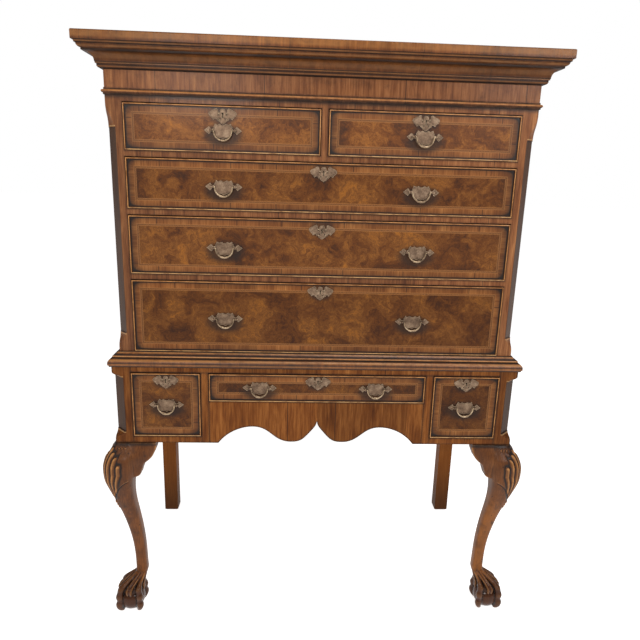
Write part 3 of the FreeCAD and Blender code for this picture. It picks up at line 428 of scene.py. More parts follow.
def drawer_face(name, low, high, face, seed, bright):
    """Burr centre, feather line, cross-banding, an edge darkened by old polish and painted shade, and a
    cockbead with a painted highlight.
    """
    g = Graph("drawer_face_" + name)
    cx, cz = (low.x + high.x) / 2, (low.z + high.z) / 2
    dx = g.sub((high.x - low.x) / 2, g.gap(g.x, cx))
    dz = g.sub((high.z - low.z) / 2, g.gap(g.z, cz))
    edge = g.math("MINIMUM", dx, dz)
    upright = g.math("GREATER_THAN", dz, dx)

    def strip(start, end, soft):
        return g.mul(g.step(edge, start - soft, start), g.step(edge, end, end + soft, 1.0, 0.0))

    centre, relief = burr(g, seed)
    # painted light: bright makes the lower drawers' burr darker, standing in for the weaker light there
    tone = g.node("ShaderNodeHueSaturation")
    tone.inputs["Value"].default_value = bright
    tone.inputs["Saturation"].default_value = 1.04
    g.put(tone.inputs["Color"], centre)
    centre = tone.outputs[0]
    along = g.blend(upright, g.x, g.z)
    across = g.blend(upright, g.z, g.x)
    stops = tones(BROWN, MID, TAN, GOLD, low=0.30, high=0.76)
    band, rough, height = straight_grain(g, across, along, g.y, stops, seed + 3.0)
    band = veneer_joints(g, band, along, 0.155, seed + 9.0)
    slant = g.math("SINE", g.mul(g.add(along, g.gap(edge, FEATHER_SPINE)), FEATHER_TURNS))
    feather = g.ramp(g.add(0.5, g.mul(slant, 0.5)), [(0.2, DEEP), (0.8, TAN)])
    colour = g.mix(g.step(edge, FEATHER_START, FEATHER_START + 0.0005), band, feather)
    outer = strip(FEATHER_START, FEATHER_START + 0.0010, 0.0005)
    inner = strip(BURR_START - 0.0004, BURR_START + 0.0004, 0.0004)
    colour = g.mix(g.step(edge, BURR_START, BURR_START + 0.0005), colour, centre)
    colour = g.mix(g.mul(g.add(outer, inner), 0.28), colour, GOLD)

    # old polish and painted shade: darker towards the edges and most in the corners, and a painted
    # shadow beside the cockbead
    cloud = g.noise(g.place, 45.0, 3.0, 0.6)
    near_x = g.math("POWER", 2.0, g.mul(dx, -125.0))
    near_z = g.math("POWER", 2.0, g.mul(dz, -230.0))
    corner = g.mul(g.mul(near_x, near_z), 2.8)
    # painted shadow just inside the cockbead
    cockbead_shadow = g.mul(g.step(edge, 0.004, 0.0075, 1.0, 0.0), 0.75)
    stain_and_shade = g.add(g.add(corner, cockbead_shadow), g.add(near_x, near_z))
    stain_and_shade = g.mul(stain_and_shade, g.add(0.80, g.mul(cloud, 0.7)), clamp=True)
    colour = g.mix(stain_and_shade, colour, DARK)
    for bail in [b for b in BAILS if b == name or b.startswith(name + "_")]:
        foot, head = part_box("bail_" + bail)
        middle = (foot.x + head.x) / 2, foot.z * 0.45 + head.z * 0.55
        # painted shadow round each brass
        colour = halo(g, colour, *middle, HANDLE_HALO, 0.55, 1.05, 0.78)
    colour = halo(g, colour, cx, high.z - KEY_DROP, KEY_HALO, 0.60, 1.10, 0.66)

    # painted highlight on the cockbead's crest, palest on the lowest length, which catches the light
    # from above
    bead = g.mul(g.math("LESS_THAN", edge, BEAD_WIDTH), g.math("LESS_THAN", g.y, face - 0.0008))
    crest = g.step(g.gap(edge, BEAD_MIDDLE), 0.0003, 0.0013, 1.0, 0.0)
    lowest = g.mul(g.math("LESS_THAN", g.z, cz), g.sub(1.0, upright))
    painted_light = g.mix(g.add(0.15, g.mul(lowest, 0.70)), GOLD, STRAW)
    bead_tone = g.mix(g.mul(crest, g.step(cloud, 0.30, 0.62, 0.30, 1.0)), BROWN, painted_light)
    colour = g.mix(bead, colour, bead_tone)
    behind = g.math("GREATER_THAN", g.y, face + BACK_FACE)
    colour = g.mix(behind, colour, BARE_WOOD)
    height = g.blend(g.step(edge, BURR_START, BURR_START + 0.0005), height, relief)
    settings = dict(VARNISH, Specular_IOR_Level=0.30 * bright - 0.07)
    return g.finish(colour, g.blend(bead, rough, 0.3), g.bump(height, 0.00012), **settings)


def leg_wood(name):
    """Plain upright-grained walnut of the rear legs, darkest at the foot."""
    g = Graph(name)
    stops = tones(BROWN, MID, TAN, low=0.26, high=0.80)
    colour, rough, height = straight_grain(g, g.z, g.x, g.y, stops, 7.0)
    colour = g.mix(g.step(g.z, 0.00, 0.22, 0.60, 0.0), colour, DARK)
    # painted shade in the hollows
    hollow = g.step(g.crevice(0.016), 0.30, 0.92, 0.9, 0.0)
    colour = g.mix(hollow, colour, DARK)
    settings = dict(VARNISH, Specular_IOR_Level=0.03, Coat_Weight=0.0)
    return g.finish(colour, rough, g.bump(height, 0.0002), **settings)


def carved_wood(name, golden):
    """Carved walnut: painted shade in the hollows, dark at the foot, a painted highlight on the crests;
    golden, from 0 to 1, is how much painted light warms the lower shank."""
    g = Graph(name)
    stops = tones(*WALNUT, low=0.28, high=0.72)
    colour, rough, height = straight_grain(g, g.z, g.x, g.y, stops, 7.0)
    hollow = g.node("ShaderNodeAttribute", attribute_name="hollow").outputs["Fac"]
    lower = g.step(g.z, 0.29, 0.40, 1.0, 0.0)
    foot = g.step(g.z, 0.075, 0.105, 1.0, 0.0)
    cloud = g.noise(g.place, 38.0, 4.0, 0.6)
    # painted light warming the lower shank, strongest on the right leg
    painted_light = g.mul(lower, g.sub(1.0, foot))
    colour = g.mix(g.mul(painted_light, 0.04 + 0.40 * golden), colour, (0.250, 0.085, 0.014))
    colour = g.mix(g.mul(g.step(cloud, 0.42, 0.72), 0.45), colour, DEEP)
    streak = g.noise(g.join(g.mul(g.x, 3.0), g.mul(g.y, 3.0), g.z), 24.0, 5.0, 0.7)
    colour = g.mix(g.mul(g.step(streak, 0.56, 0.70), 0.65), colour, DARK)
    spot = g.step(g.cells(g.vector("ADD", g.place, (0.3, 0.1, 0.7)), 42.0), 0.05, 0.11, 0.75, 0.0)
    colour = g.mix(spot, colour, DARK)
    colour = g.mix(g.mul(foot, 0.82), colour, (0.040, 0.015, 0.008))
    knee = g.step(g.z, 0.33, 0.40)
    colour = g.mix(g.mul(knee, 0.36), colour, DEEP)
    # painted highlight on the carved crests
    crest = g.mul(g.step(hollow, -0.20, -0.95, 0.0, 0.85), g.step(foot, 0.0, 1.0, 1.0, 0.34))
    colour = g.mix(crest, colour, GOLD)
    # painted shade in the hollows and beside the lobes
    colour = g.mix(g.step(hollow, 0.05, 0.55, 0.0, 0.97), colour, DARK)
    joint = g.mul(g.step(g.z, CASE_Z - 0.011, CASE_Z - 0.004), g.step(cloud, 0.2, 0.6, 0.45, 0.95))
    colour = g.mix(joint, colour, DARK)
    shade = g.step(g.crevice(0.020), 0.25, 0.85, 0.75, 0.0)
    colour = g.mix(shade, colour, DARK)
    rough = g.sub(rough, g.add(0.04, g.mul(foot, 0.24)))
    settings = dict(VARNISH, Specular_IOR_Level=0.14, Coat_Weight=0.03)
    return g.finish(colour, rough, g.bump(height, 0.0002), **settings)


def aged_brass(name, bright):
    """Old bronzed brass: dull and dark in the hollows, a little brighter on the edges."""
    g = Graph(name)
    cloud = g.noise(g.place, 60.0, 3.0, 0.5)
    fine = g.noise(g.place, 340.0, 3.0, 0.6)
    share = g.add(g.mul(cloud, 0.65), g.mul(fine, 0.35))
    dull = [(0.32, (0.070, 0.042, 0.027)), (0.50, (0.155, 0.098, 0.062)), (0.68, (0.290, 0.200, 0.130))]
    clean = [(0.34, (0.095, 0.062, 0.038)), (0.50, (0.260, 0.180, 0.108)), (0.66, (0.470, 0.350, 0.225))]
    colour = g.ramp(share, clean if bright else dull)
    colour = g.mix(g.step(g.edge(0.0008), 0.48, 0.86, 0.70, 0.0), colour, (0.520, 0.400, 0.260))
    dirt_and_shade = g.step(g.crevice(0.004), 0.25, 0.85, 0.85, 0.0)
    colour = g.mix(dirt_and_shade, colour, (0.03, 0.022, 0.016))
    rough = g.add(0.22 if bright else 0.34, g.mul(cloud, 0.25))
    return g.finish(colour, rough, g.bump(share, 0.0002), Metallic=0.85)


def iron(name):
    """Dull iron of the lock bolts."""
    g = Graph(name)
    cloud = g.noise(g.place, 420.0, 4.0, 0.6)
    colour = g.ramp(cloud, [(0.3, (0.05, 0.045, 0.04)), (0.7, (0.20, 0.18, 0.16))])
    return g.finish(colour, g.add(0.4, g.mul(cloud, 0.3)), g.bump(cloud, 0.0002), Metallic=0.8)


def paint(obj, material):
    """Gives the object this one material."""
    obj.data.materials.clear()
    obj.data.materials.append(material)


veneer_apron = front_veneer("veneer_apron", 4.0, gloss=0.02, wood=RICH, rim=0.80)
veneer_upper = front_veneer(
    "veneer_upper", 1.0, [n for n in DRAWERS if not n.startswith("stand")],
    cant=(HALF, FRONT_Y, UPPER_CANT, POST_LOW.z + UPPER_CANT_FOOT, POST_HIGH.z - UPPER_CANT_HEAD))
veneer_stand = front_veneer(
    "veneer_stand", 2.0, [n for n in DRAWERS if n.startswith("stand")], gloss=0.03, wood=RICH, rim=0.65,
    cant=(STAND_HALF, STAND_Y, STAND_CANT, CASE_Z + STAND_CANT_FOOT, STAND_HIGH.z - STAND_CANT_HEAD))
# quirks (dirt and painted shade) and crests (painted highlights): height above the moulding's foot, half
# width and strength
mould_upper = moulding(
    "moulding_upper", 3.0, WALNUT, 0.13, CORNICE_Z,
    ((0, 1.6, 0.95), (6.5, 1.6, 0.8), (12.2, 1.2, 0.8), (32.5, 2.4, 0.9), (44.2, 1.2, 0.7),
     (48.8, 1.0, 0.6)),
    ((3.2, 1.2, 0.35), (10.2, 1.2, 0.5), (23.5, 6.0, 0.22), (38.5, 2.0, 0.4), (46.6, 1.3, 0.5),
     (61.0, 8.0, 0.30), (71.5, 2.2, 0.65)), low=0.42)
mould_frieze = moulding(
    "moulding_frieze", 8.0, RAIL, 0.13, FRIEZE_Z,
    ((0.8, 3.2, 0.95), (5.0, 1.4, 0.6), (12.8, 1.6, 0.85), (54.0, 1.5, 0.9)), ((8.6, 1.8, 0.65),), 110.0)
mould_waist = moulding(
    "moulding_waist", 5.0, WALNUT, 0.26, WAIST_Z,
    ((0, 3.0, 0.95), (10.6, 1.6, 0.75), (21.6, 1.8, 0.9), (28.7, 1.6, 0.9), (36.0, 1.8, 0.9)),
    ((6.0, 2.5, 0.25), (17.0, 2.6, 0.65), (25.2, 1.8, 0.85), (33.0, 1.6, 0.6)), 90.0)
brass = aged_brass("aged_brass", False)
bright_brass = aged_brass("worn_brass", True)
dull_iron = iron("lock_iron")
lining = plain_boards("drawer_lining", "y", 2.0)
boards = plain_boards("back_boards", "z", 6.0)
leg = leg_wood("leg_walnut")
side = side_veneer("side_veneer")

for name, material in {
    "cornice": mould_upper, "frieze": mould_frieze, "upper_case_sides": side, "upper_case_boards": side,
    "upper_case_back": boards, "upper_corner_posts": veneer_upper, "upper_drawer_rails": veneer_upper,
    "drawer_runners": lining, "waist_moulding": mould_waist, "stand_sides": side, "stand_back": boards,
    "stand_front_frame": veneer_stand, "stand_apron": veneer_apron, "front_leg_right": leg,
    "front_leg_left": leg, "rear_legs": leg,
}.items():
    paint(NODES[name], material)

for k, name in enumerate(DRAWERS):
    front = "drawer_%s_front" % name
    low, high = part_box(front)
    burr_front = drawer_face(name, low, high, low.y + BEAD_STANDS, 11.0 + 7.0 * k, BURR_PAINTED_LIGHT[name])
    paint(NODES[front], burr_front)
    paint(NODES["drawer_%s_box" % name], lining)
    paint(NODES["drawer_%s_brasses" % name], brass)
    paint(NODES["lock_bolt_" + name], dull_iron)
for name in BAILS:
    paint(NODES["bail_" + name], bright_brass)


def link(name, data):
    obj = bpy.data.objects.new(name, data)
    bpy.context.scene.collection.objects.link(obj)
    return obj


def applied(obj):
    """The object's mesh with its modifiers applied; the object itself goes."""
    bpy.context.view_layer.update()
    ready = obj.evaluated_get(bpy.context.evaluated_depsgraph_get())
    mesh = bpy.data.meshes.new_from_object(ready)
    bpy.data.objects.remove(obj)
    return mesh


# ---------------------------------------------------------------- softened edges and chased plates
FRONT_EASE, BRASS_EASE = 0.0011, 0.0003
SMOOTH_BELOW = 2e-5            # square metres: the narrow strips of an eased edge are shaded smooth
# plate and key plate: their faces stand this far out from the drawer's face
PLATE_FACES = 0.0016, 0.0014
# the chased line: each inset's width and rise
CHASING = ((0.0008, 0.0), (0.0004, -0.0004), (0.0004, 0.0006))


def softened(node, width, engrave=()):
    """A copy of a CAD node with slightly rounded edges, and a chased line inside flat plates."""
    bm = bmesh.new()
    bm.from_mesh(NODES[node].data)
    bmesh.ops.remove_doubles(bm, verts=bm.verts, dist=1e-6)
    if not engrave:
        bmesh.ops.dissolve_limit(bm, angle_limit=math.radians(1.0), verts=bm.verts, edges=bm.edges)
    for plane in engrave:
        flat = [f for f in bm.faces
                if f.normal.y < -0.99 and abs(f.calc_center_median().y - plane) < 1e-5]
        for thickness, depth in CHASING:
            bmesh.ops.inset_region(bm, faces=flat, thickness=thickness, depth=depth,
                                   use_even_offset=False)
    mesh = bpy.data.meshes.new(node + "_soft")
    bm.to_mesh(mesh)
    bm.free()
    rough = link(node + "_rough", mesh)
    bevel = rough.modifiers.new("edges", "BEVEL")
    bevel.width = width
    bevel.segments = 2
    bevel.limit_method = "ANGLE"
    bevel.angle_limit = math.radians(50.0)
    mesh = applied(rough)
    area = np.empty(len(mesh.polygons), dtype=np.float32)
    mesh.polygons.foreach_get("area", area)
    mesh.polygons.foreach_set("use_smooth", area < SMOOTH_BELOW)
    return link(node + "_soft", mesh)


for name in DRAWERS:
    front, metal = "drawer_%s_front" % name, "drawer_%s_brasses" % name
    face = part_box(front)[0].y + BEAD_STANDS
    plates = [face - stands for stands in PLATE_FACES]
    for node, width, engrave, slot in ((front, FRONT_EASE, (), "burr_walnut"),
                                       (metal, BRASS_EASE, plates, "aged_brass")):
        piece = softened(node, width, engrave)
        paint(piece, NODES[node].data.materials[0])
        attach(piece, "drawer_" + name)
        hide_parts(node)


# ---------------------------------------------------------------- carved front legs, in millimetres
# height, projection beyond the stand and width of the leg, from the case down to the instep
LEG = np.array([
    (509.0, 4.0, 53.5), (490.2, 15.0, 64.5), (469.7, 26.0, 74.5), (452.1, 30.5, 78.0),
    (430.5, 31.0, 78.0), (409.6, 29.0, 71.5), (384.7, 22.5, 61.5), (346.2, 12.0, 50.5),
    (307.0, 0.5, 42.5), (259.1, -10.5, 37.0), (212.1, -18.5, 33.0), (172.4, -22.5, 31.0),
    (131.9, -24.0, 30.5), (106.0, -24.0, 31.5)])
FOOT = (503.0, -235.5)
BALL, BALL_Z = 34.5, 34.0
# instep: height, share of the way from the ankle's axis to the foot's, width
INSTEP = ((97.0, 0.10, 32.5), (88.0, 0.40, 37.0), (78.0, 0.76, 43.0), (68.0, 0.97, 48.5),
          (58.0, 1.0, 50.0), (48.0, 1.0, 46.0))
# toe and tendon: distance from the foot's axis, height, radius
TOE = ((8, 106, 4.0), (13.5, 98, 5.2), (20, 89, 6.6), (27.5, 80, 8.0), (33, 72, 9.0), (35.5, 65, 8.3),
       (37.5, 58, 8.6), (38.8, 51, 10.0), (38.0, 43.5, 9.0), (38.3, 36, 8.4), (40.0, 29, 9.6),
       (39.6, 22, 9.0), (37.0, 15.5, 7.8), (32.5, 9.8, 6.2), (27.5, 6.0, 4.2))
TENDON = ((8, 106, 2.8), (13.5, 98, 3.2), (20.5, 89.5, 3.7), (27.5, 80.5, 4.2), (31.5, 72, 4.4),
          (32.8, 64, 4.0), (31.5, 57.5, 2.8))
TENDONS_APART = 4.2            # each of a pair of tendons from the middle between two toes
# knee block: drop from the case and reach from the post
BLOCK_EDGE = ((-2, 60), (0, 57), (10, 56), (22, 53), (41, 43), (52, 31), (58, 24.5), (73, 19),
              (84, 15), (92, 10), (98, -6))
BLOCK_HEIGHT, BLOCK_ROOT, BLOCK_DEPTH = 97.0, 24.0, 26.0
POST = 46.0                    # width of the stand's corner post
# carving of the knee
LOBE_TOPS = (498.0, 488.0, 478.0, 459.0)
LOBE_PITCH, LOBE_RELIEF, SUNK = 9.6, 4.6, 1.6
CARVED_FROM = 354.0
SCROLL_Z = 497.0
HUSKS = ((341.0, 5.4), (331.5, 4.4), (323.5, 3.4))   # height and size
ROUNDING, ROUNDS = 0.55, 5     # how strongly and how often the joined leg is smoothed
OVERHANG = 49.6                # the carving stays within the cornice's overhang of 50
FLOOR_GAP = 0.25
VOXEL = 1.3


def spline(knots, values, at):
    """Natural cubic spline through values at rising knots."""
    knots, values = np.asarray(knots, float), np.asarray(values, float)
    n = len(knots)
    gap = np.diff(knots)
    slope = np.diff(values) / gap
    m = np.eye(n)
    rhs = np.zeros(n)
    for k in range(1, n - 1):
        m[k, k - 1:k + 2] = gap[k - 1], 2 * (gap[k - 1] + gap[k]), gap[k]
        rhs[k] = 6 * (slope[k] - slope[k - 1])
    bend = np.linalg.solve(m, rhs)
    k = np.clip(np.searchsorted(knots, at) - 1, 0, n - 2)
    t, g = at - knots[k], gap[k]
    return (values[k] + t * (slope[k] - g * (2 * bend[k] + bend[k + 1]) / 6) + t * t * bend[k] / 2
            + t ** 3 * (bend[k + 1] - bend[k]) / (6 * g))


def add_rings(bm, rings):
    """A closed skin over a row of point rings, with a cap on each end."""
    made = [[bm.verts.new(p) for p in ring] for ring in rings]
    count = len(made[0])
    for a, b in zip(made, made[1:]):
        for k in range(count):
            bm.faces.new((a[k], a[(k + 1) % count], b[(k + 1) % count], b[k]))
    bm.faces.new(made[0][::-1])
    bm.faces.new(made[-1])


def leg_axis(z):
    """Centre x, centre y and width of the leg at heights above the instep."""
    out = spline(LEG[::-1, 0], LEG[::-1, 1], z)
    width = spline(LEG[::-1, 0], LEG[::-1, 2], z)
    inset = out - width / 2
    return STAND_HALF / MM + inset, STAND_Y / MM - inset, width


def square_ring(cx, cy, z, width, power, count=56):
    """A level ring of points, rounder the lower power is: 2 is a circle."""
    turn = np.linspace(0, 2 * math.pi, count, endpoint=False)
    c, s = np.cos(turn), np.sin(turn)
    reach = width / 2 / (np.abs(c) ** power + np.abs(s) ** power) ** (1 / power)
    return [(cx + r * a, cy + r * b, z) for r, a, b in zip(reach, c, s)]


def add_shaft(bm):
    """The leg from the case to the ankle, and the instep that leads into the foot."""
    heights = np.linspace(LEG[0, 0], LEG[-1, 0], 120)
    cx, cy, width = leg_axis(heights)
    rings = [square_ring(*row, 3.5) for row in zip(cx, cy, heights, width)]
    ax, ay = cx[-1], cy[-1]
    rows = [(ax + (FOOT[0] - ax) * t, ay + (FOOT[1] - ay) * t, z, w) for z, t, w in INSTEP]
    knots = [-LEG[-1, 0]] + [-row[2] for row in rows]
    at = np.linspace(knots[0], knots[-1], 30)[1:]
    first = (ax, ay, LEG[-1, 0], width[-1])
    x, y, w = (spline(knots, [first[k]] + [row[k] for row in rows], at) for k in (0, 1, 3))
    rings += [square_ring(a, b, -z, c, 2.6) for a, b, z, c in zip(x, y, at, w)]
    add_rings(bm, rings)


def foot_axis(z):
    """The foot's axis leans from the ankle to the middle of the foot."""
    cx, cy, _ = leg_axis(LEG[-1, 0])
    share = smoothstep(-z, -LEG[-1, 0], -69.0)
    return cx + (FOOT[0] - cx) * share, cy + (FOOT[1] - cy) * share


def add_tube(bm, path, angle, aside=0.0, samples=34, sides=14):
    """A round, knuckled rod down the foot: path is distance out, height and radius."""
    path = np.asarray(path, float)
    knots = np.arange(len(path))
    at = np.linspace(0, len(path) - 1, samples)
    out, z, radius = (spline(knots, path[:, k], at) for k in range(3))
    c, s = math.cos(angle), math.sin(angle)
    rings = []
    tangent = np.stack((np.gradient(out), np.gradient(z)), 1)
    tangent /= np.linalg.norm(tangent, axis=1)[:, None]
    for o, h, r, (to, tz) in zip(out, z, radius, tangent):
        ring = []
        ax, ay = foot_axis(h)
        for k in range(sides):
            a = 2 * math.pi * k / sides
            in_plane, across = r * math.cos(a), r * math.sin(a)
            d, h2, w = o - tz * in_plane, h + to * in_plane, across + aside
            ring.append((ax + c * d - s * w, ay + s * d + c * w, h2))
        rings.append(ring)
    add_rings(bm, rings)


def add_ball(bm, levels=24):
    rings = []
    for k in range(1, levels):
        a = math.pi * k / levels
        r, z = BALL * math.sin(a), BALL_Z + BALL * math.cos(a)
        rings.append([(FOOT[0] + r * math.cos(b), FOOT[1] + r * math.sin(b), z)
                      for b in np.linspace(0, 2 * math.pi, 48, endpoint=False)])
    add_rings(bm, rings)


def add_block(bm, swap):
    """Knee block: curved outline, its face falling away from the knee to its edge. It lies along the
    front, or when swapped along the side."""
    corner_x, corner_y = STAND_HALF / MM, STAND_Y / MM
    post, back = corner_x - POST, corner_y + BLOCK_DEPTH
    drops = np.linspace(0.0, BLOCK_HEIGHT, 44)
    edge = spline([p[0] for p in BLOCK_EDGE], [p[1] for p in BLOCK_EDGE], drops)
    rings = []
    for drop, reach in zip(drops, edge):
        z = LEG[0, 0] - drop
        _, cy, width = leg_axis(min(z, LEG[0, 0] - 0.5))
        leg_front = corner_y - cy + width / 2
        rim = 5.0 + 4.0 * min(1.0, drop / 40.0)
        inward = np.linspace(-BLOCK_ROOT, reach, 18)
        ring = []
        for d in inward:
            t = (d + BLOCK_ROOT) / max(reach + BLOCK_ROOT, 1.0)
            front = leg_front * 0.92 * (1 - t) ** 1.25 + rim * (1 - (1 - t) ** 1.25)
            front -= 2.5 * max(0.0, (t - 0.9) / 0.1) ** 2
            ring.append((post - d, corner_y - front, z))
        ring += [(post - d, back, z) for d in inward[::-1]]
        rings.append(ring)
    if swap:
        rings = [[(corner_x - (y - corner_y), corner_y - (x - corner_x), z) for x, y, z in ring[::-1]]
                 for ring in rings]
    add_rings(bm, rings)


def smoothstep(value, low, high):
    t = np.clip((value - low) / (high - low), 0, 1)
    return t * t * (3 - 2 * t)


def knee_carving(x, y, z):
    """Height, and stain with painted shade, of the carving on the right knee: gadroon lobes down its
    outer corner, their sunk ground, the incised edge of the raised ground, punched scrolls, and three
    husks."""
    cx, cy, width = leg_axis(np.clip(z, 200.0, 508.0))
    v = ((x - cx) + (y - cy)) / math.sqrt(2)
    u = ((x - cx) - (y - cy)) / math.sqrt(2)
    pitch = LOBE_PITCH * np.clip((z - 340.0) / 90.0, 0.10, 1.0) ** 0.85
    q = np.abs(v) / pitch
    k = np.clip(np.round(q), 0, 3)
    t = 2.0 * (q - k)
    top = np.array(LOBE_TOPS)[k.astype(int)]
    above = np.clip((z - (top - 9.0)) / 9.0, 0, None)
    below = np.clip((CARVED_FROM + 9.0 * k - z) / 12.0, 0, None)
    round_ = np.clip(1.0 - np.abs(t) ** 3.2 - above ** 2 - below ** 2, 0, 1)
    relief = LOBE_RELIEF * (pitch / 9.0) ** 0.55
    lean = 1.0 - 0.25 * t
    lobe = relief * round_ ** 0.55 * lean
    reach = np.sqrt(np.clip(q - 3.0, 0, None) ** 2 + (np.clip(z - top, 0, None) / 9.0) ** 2)
    ground = -SUNK * np.exp(-(reach / 0.75) ** 2) * (z > CARVED_FROM - 6)
    height = np.where(round_ > 0, lobe - SUNK, ground)
    # raised ground above a line that falls from the block's foot to the corner of the leg
    along = 1.0 - math.sqrt(2) * np.abs(v) / width
    line = 417.0 - 70.0 * np.clip(along, 0, 1) ** 1.4
    raised = smoothstep(z - line, -1.2, 1.2) * (1 - smoothstep(z, 470.0, 495.0))
    height += 1.1 * raised * (round_ <= 0)
    height -= 1.3 * np.exp(-((z - line + 2.2) / 1.5) ** 2) * smoothstep(np.abs(v), 3.0, 8.0)
    # punched scrolls beside the corner, above the outer lobes
    spot = np.exp(-((z - SCROLL_Z) / 6.0) ** 2) * smoothstep(np.abs(v), 9.0, 13.0)
    spot *= 1 - smoothstep(np.abs(v), 26.0, 31.0)
    height += spot * (1.3 * np.sin(v * 1.15 + 0.5 * np.sin(z * 0.6)) * np.sin(z * 0.75) + 0.5)
    for at, size in HUSKS:
        husk = np.clip(1 - ((z - at) / size) ** 2 - (v / (size * 0.75)) ** 2, 0, 1)
        height += 2.4 * husk ** 0.6
    fade = smoothstep(u, 1.0, 7.0) * smoothstep(z, 312.0, 320.0) * (1 - smoothstep(z, 499.0, 505.0))
    # stain and painted shade: a soft dark band on the ground beside the lobes
    stain_and_shade = np.exp(-(reach / 1.15) ** 2) * (round_ <= 0) * (z > CARVED_FROM - 12)
    return height * fade, stain_and_shade * fade


def neighbour_mean(values, first, second, count):
    """Mean of each point's neighbours, over the edges between first and second."""
    total = np.empty_like(values)
    for k in range(values.shape[1]):
        total[:, k] = (np.bincount(first, values[second, k], len(values))
                       + np.bincount(second, values[first, k], len(values)))
    return total / count[:, None]


def carve(obj):
    """Smooths the remeshed leg, carves it, and stores how hollow each point is, with the stain and
    painted shade beside the lobes added.
    """
    mesh = obj.data
    co = np.empty(len(mesh.vertices) * 3)
    mesh.vertices.foreach_get("co", co)
    co = co.reshape(-1, 3) / MM
    ends = np.empty(len(mesh.edges) * 2, dtype=np.int64)
    mesh.edges.foreach_get("vertices", ends)
    first, second = ends.reshape(-1, 2).T
    count = np.bincount(first, minlength=len(co)) + np.bincount(second, minlength=len(co))
    count = np.maximum(count, 1)
    for _ in range(ROUNDS):
        co += ROUNDING * (neighbour_mean(co, first, second, count) - co)
    mesh.vertices.foreach_set("co", (co * MM).ravel())
    mesh.update()
    normal = np.empty(len(co) * 3)
    mesh.vertex_normals.foreach_get("vector", normal)
    normal = normal.reshape(-1, 3)
    height, stain_and_shade = knee_carving(co[:, 0], co[:, 1], co[:, 2])
    co += normal * height[:, None]
    co += 0.35 * (neighbour_mean(co, first, second, count) - co)
    far = co.copy()
    for _ in range(10):
        far = neighbour_mean(far, first, second, count)
    hollow = ((far - co) * normal).sum(1)
    hollow = neighbour_mean((hollow + 0.45 * stain_and_shade)[:, None], first, second, count)[:, 0]
    co[:, 0] = np.minimum(co[:, 0], HALF / MM + OVERHANG)
    co[:, 1] = np.maximum(co[:, 1], FRONT_Y / MM - OVERHANG)
    co[:, 2] = np.clip(co[:, 2], FLOOR_GAP, None)
    mesh.vertices.foreach_set("co", (co * MM).ravel())
    mesh.attributes.new("hollow", "FLOAT", "POINT").data.foreach_set("value", hollow.astype(np.float32))
    mesh.update()


def carved_leg():
    """The right leg: shaft, foot and knee blocks joined into one skin, then carved."""
    bm = bmesh.new()
    add_shaft(bm)
    add_ball(bm)
    for k in range(4):
        add_tube(bm, TOE, math.pi / 4 + k * math.pi / 2)
        for side_step in (-TENDONS_APART, TENDONS_APART):
            add_tube(bm, TENDON, k * math.pi / 2, side_step)
    add_block(bm, False)
    add_block(bm, True)
    bmesh.ops.recalc_face_normals(bm, faces=bm.faces)
    bmesh.ops.scale(bm, vec=(MM, MM, MM), verts=bm.verts)
    mesh = bpy.data.meshes.new("leg_rough")
    bm.to_mesh(mesh)
    bm.free()
    rough = link("leg_rough", mesh)
    remesh = rough.modifiers.new("union", "REMESH")
    remesh.mode = "VOXEL"
    remesh.voxel_size = VOXEL * MM
    mesh = applied(rough)
    mesh.name = "carved_leg_right"
    obj = link("carved_leg_right", mesh)
    carve(obj)
    mesh.shade_smooth()
    return obj


def mirror_leg(obj):
    """The left leg: the right one in the mirror."""
    mesh = obj.data.copy()
    mesh.name = "carved_leg_left"
    co = np.empty(len(mesh.vertices) * 3)
    mesh.vertices.foreach_get("co", co)
    co = co.reshape(-1, 3)
    co[:, 0] *= -1
    mesh.vertices.foreach_set("co", co.ravel())
    mesh.flip_normals()
    return link("carved_leg_left", mesh)


leg_right = carved_leg()
leg_left = mirror_leg(leg_right)
# the right leg's shank gets the painted light, the left almost none
for piece, hand, tint in ((leg_right, "right", 1.0), (leg_left, "left", 0.0)):
    paint(piece, carved_wood("carved_walnut_" + hand, tint))
    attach(piece, "carcase")
    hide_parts("front_leg_" + hand)


# ---------------------------------------------------------------- floor, light and camera
FLOOR_SIZE, FLOOR_Z = 60.0, -0.0005


def floor_material():
    g = Graph("pale_floor")
    cloud = g.noise(g.place, 3.0, 3.0)
    colour = g.ramp(cloud, [(0.3, (0.86, 0.86, 0.85)), (0.7, (0.90, 0.90, 0.89))])
    return g.finish(colour, 0.9, Emission_Color=(1.0, 1.0, 1.0, 1.0), Emission_Strength=0.80,
                    Specular_IOR_Level=0.1)


def add_floor():
    h = FLOOR_SIZE / 2
    mesh = bpy.data.meshes.new("floor")
    mesh.from_pydata([(-h, -h, 0), (h, -h, 0), (h, h, 0), (-h, h, 0)], [], [(0, 1, 2, 3)])
    obj = link("floor", mesh)
    obj.location = (0, 0, FLOOR_Z)
    paint(obj, floor_material())


def area_light(name, place, target, size, power, colour=(1, 1, 1)):
    data = bpy.data.lights.new(name, "AREA")
    data.shape = "RECTANGLE"
    data.size, data.size_y = size
    data.energy = power
    data.color = colour
    obj = link(name, data)
    obj.location = place
    obj.rotation_euler = (Vector(target) - Vector(place)).to_track_quat("-Z", "Y").to_euler()


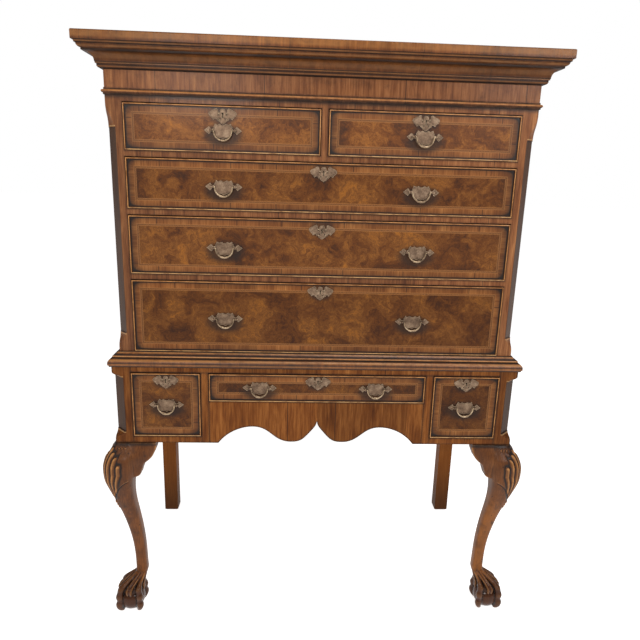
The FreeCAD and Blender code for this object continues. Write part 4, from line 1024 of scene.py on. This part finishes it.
add_floor()
area_light("softbox_left", (-2.6, -2.4, 2.2), (0, 0, 0.8), (1.4, 1.6), 24.0, (1.0, 0.96, 0.91))
area_light("softbox_right", (1.7, -3.0, 2.2), (0.1, 0, 0.9), (0.9, 0.9), 38.0, (0.97, 0.98, 1.0))
area_light("softbox_front", (-0.75, -3.3, 1.95), (0, 0, 1.2), (0.7, 0.6), 26.0, (1.0, 0.98, 0.96))
area_light("softbox_top", (0.5, -1.4, 3.2), (0, 0, 0.9), (1.6, 0.7), 36.0)

# the backdrop is white for the camera, and only a soft fill for the chest
world = bpy.data.worlds.new("studio")
world.use_nodes = True
tree = world.node_tree
tree.nodes.clear()
fill = tree.nodes.new("ShaderNodeBackground")
fill.inputs[0].default_value = (0.98, 0.99, 1.0, 1.0)
fill.inputs[1].default_value = 0.25
white = tree.nodes.new("ShaderNodeBackground")
white.inputs[0].default_value = (1.0, 1.0, 1.0, 1.0)
white.inputs[1].default_value = 1.0
seen = tree.nodes.new("ShaderNodeLightPath")
choose = tree.nodes.new("ShaderNodeMixShader")
sky = tree.nodes.new("ShaderNodeOutputWorld")
tree.links.new(seen.outputs["Is Camera Ray"], choose.inputs[0])
tree.links.new(fill.outputs[0], choose.inputs[1])
tree.links.new(white.outputs[0], choose.inputs[2])
tree.links.new(choose.outputs[0], sky.inputs[0])
bpy.context.scene.world = world
bpy.context.scene.view_settings.view_transform = "Standard"

YAW, PITCH, ROLL = -0.0503, -0.2436, -0.0293
LENS, EYE = 31.797, (-0.06804, -1.6117, 1.1823)
turn = Matrix.Rotation(YAW, 3, "Z") @ Matrix.Rotation(PITCH, 3, "X") @ Matrix.Rotation(ROLL, 3, "Y")
right, forward, up = turn.col[0], turn.col[1], turn.col[2]
camera_data = bpy.data.cameras.new("camera")
camera_data.sensor_width = 36.0
camera_data.lens = LENS
camera_data.clip_end = 100.0
camera = bpy.data.objects.new("camera", camera_data)
pose = Matrix((right, up, -forward)).transposed().to_4x4()
pose.translation = Vector(EYE)
camera.matrix_world = pose
bpy.context.scene.collection.objects.link(camera)
bpy.context.scene.camera = camera
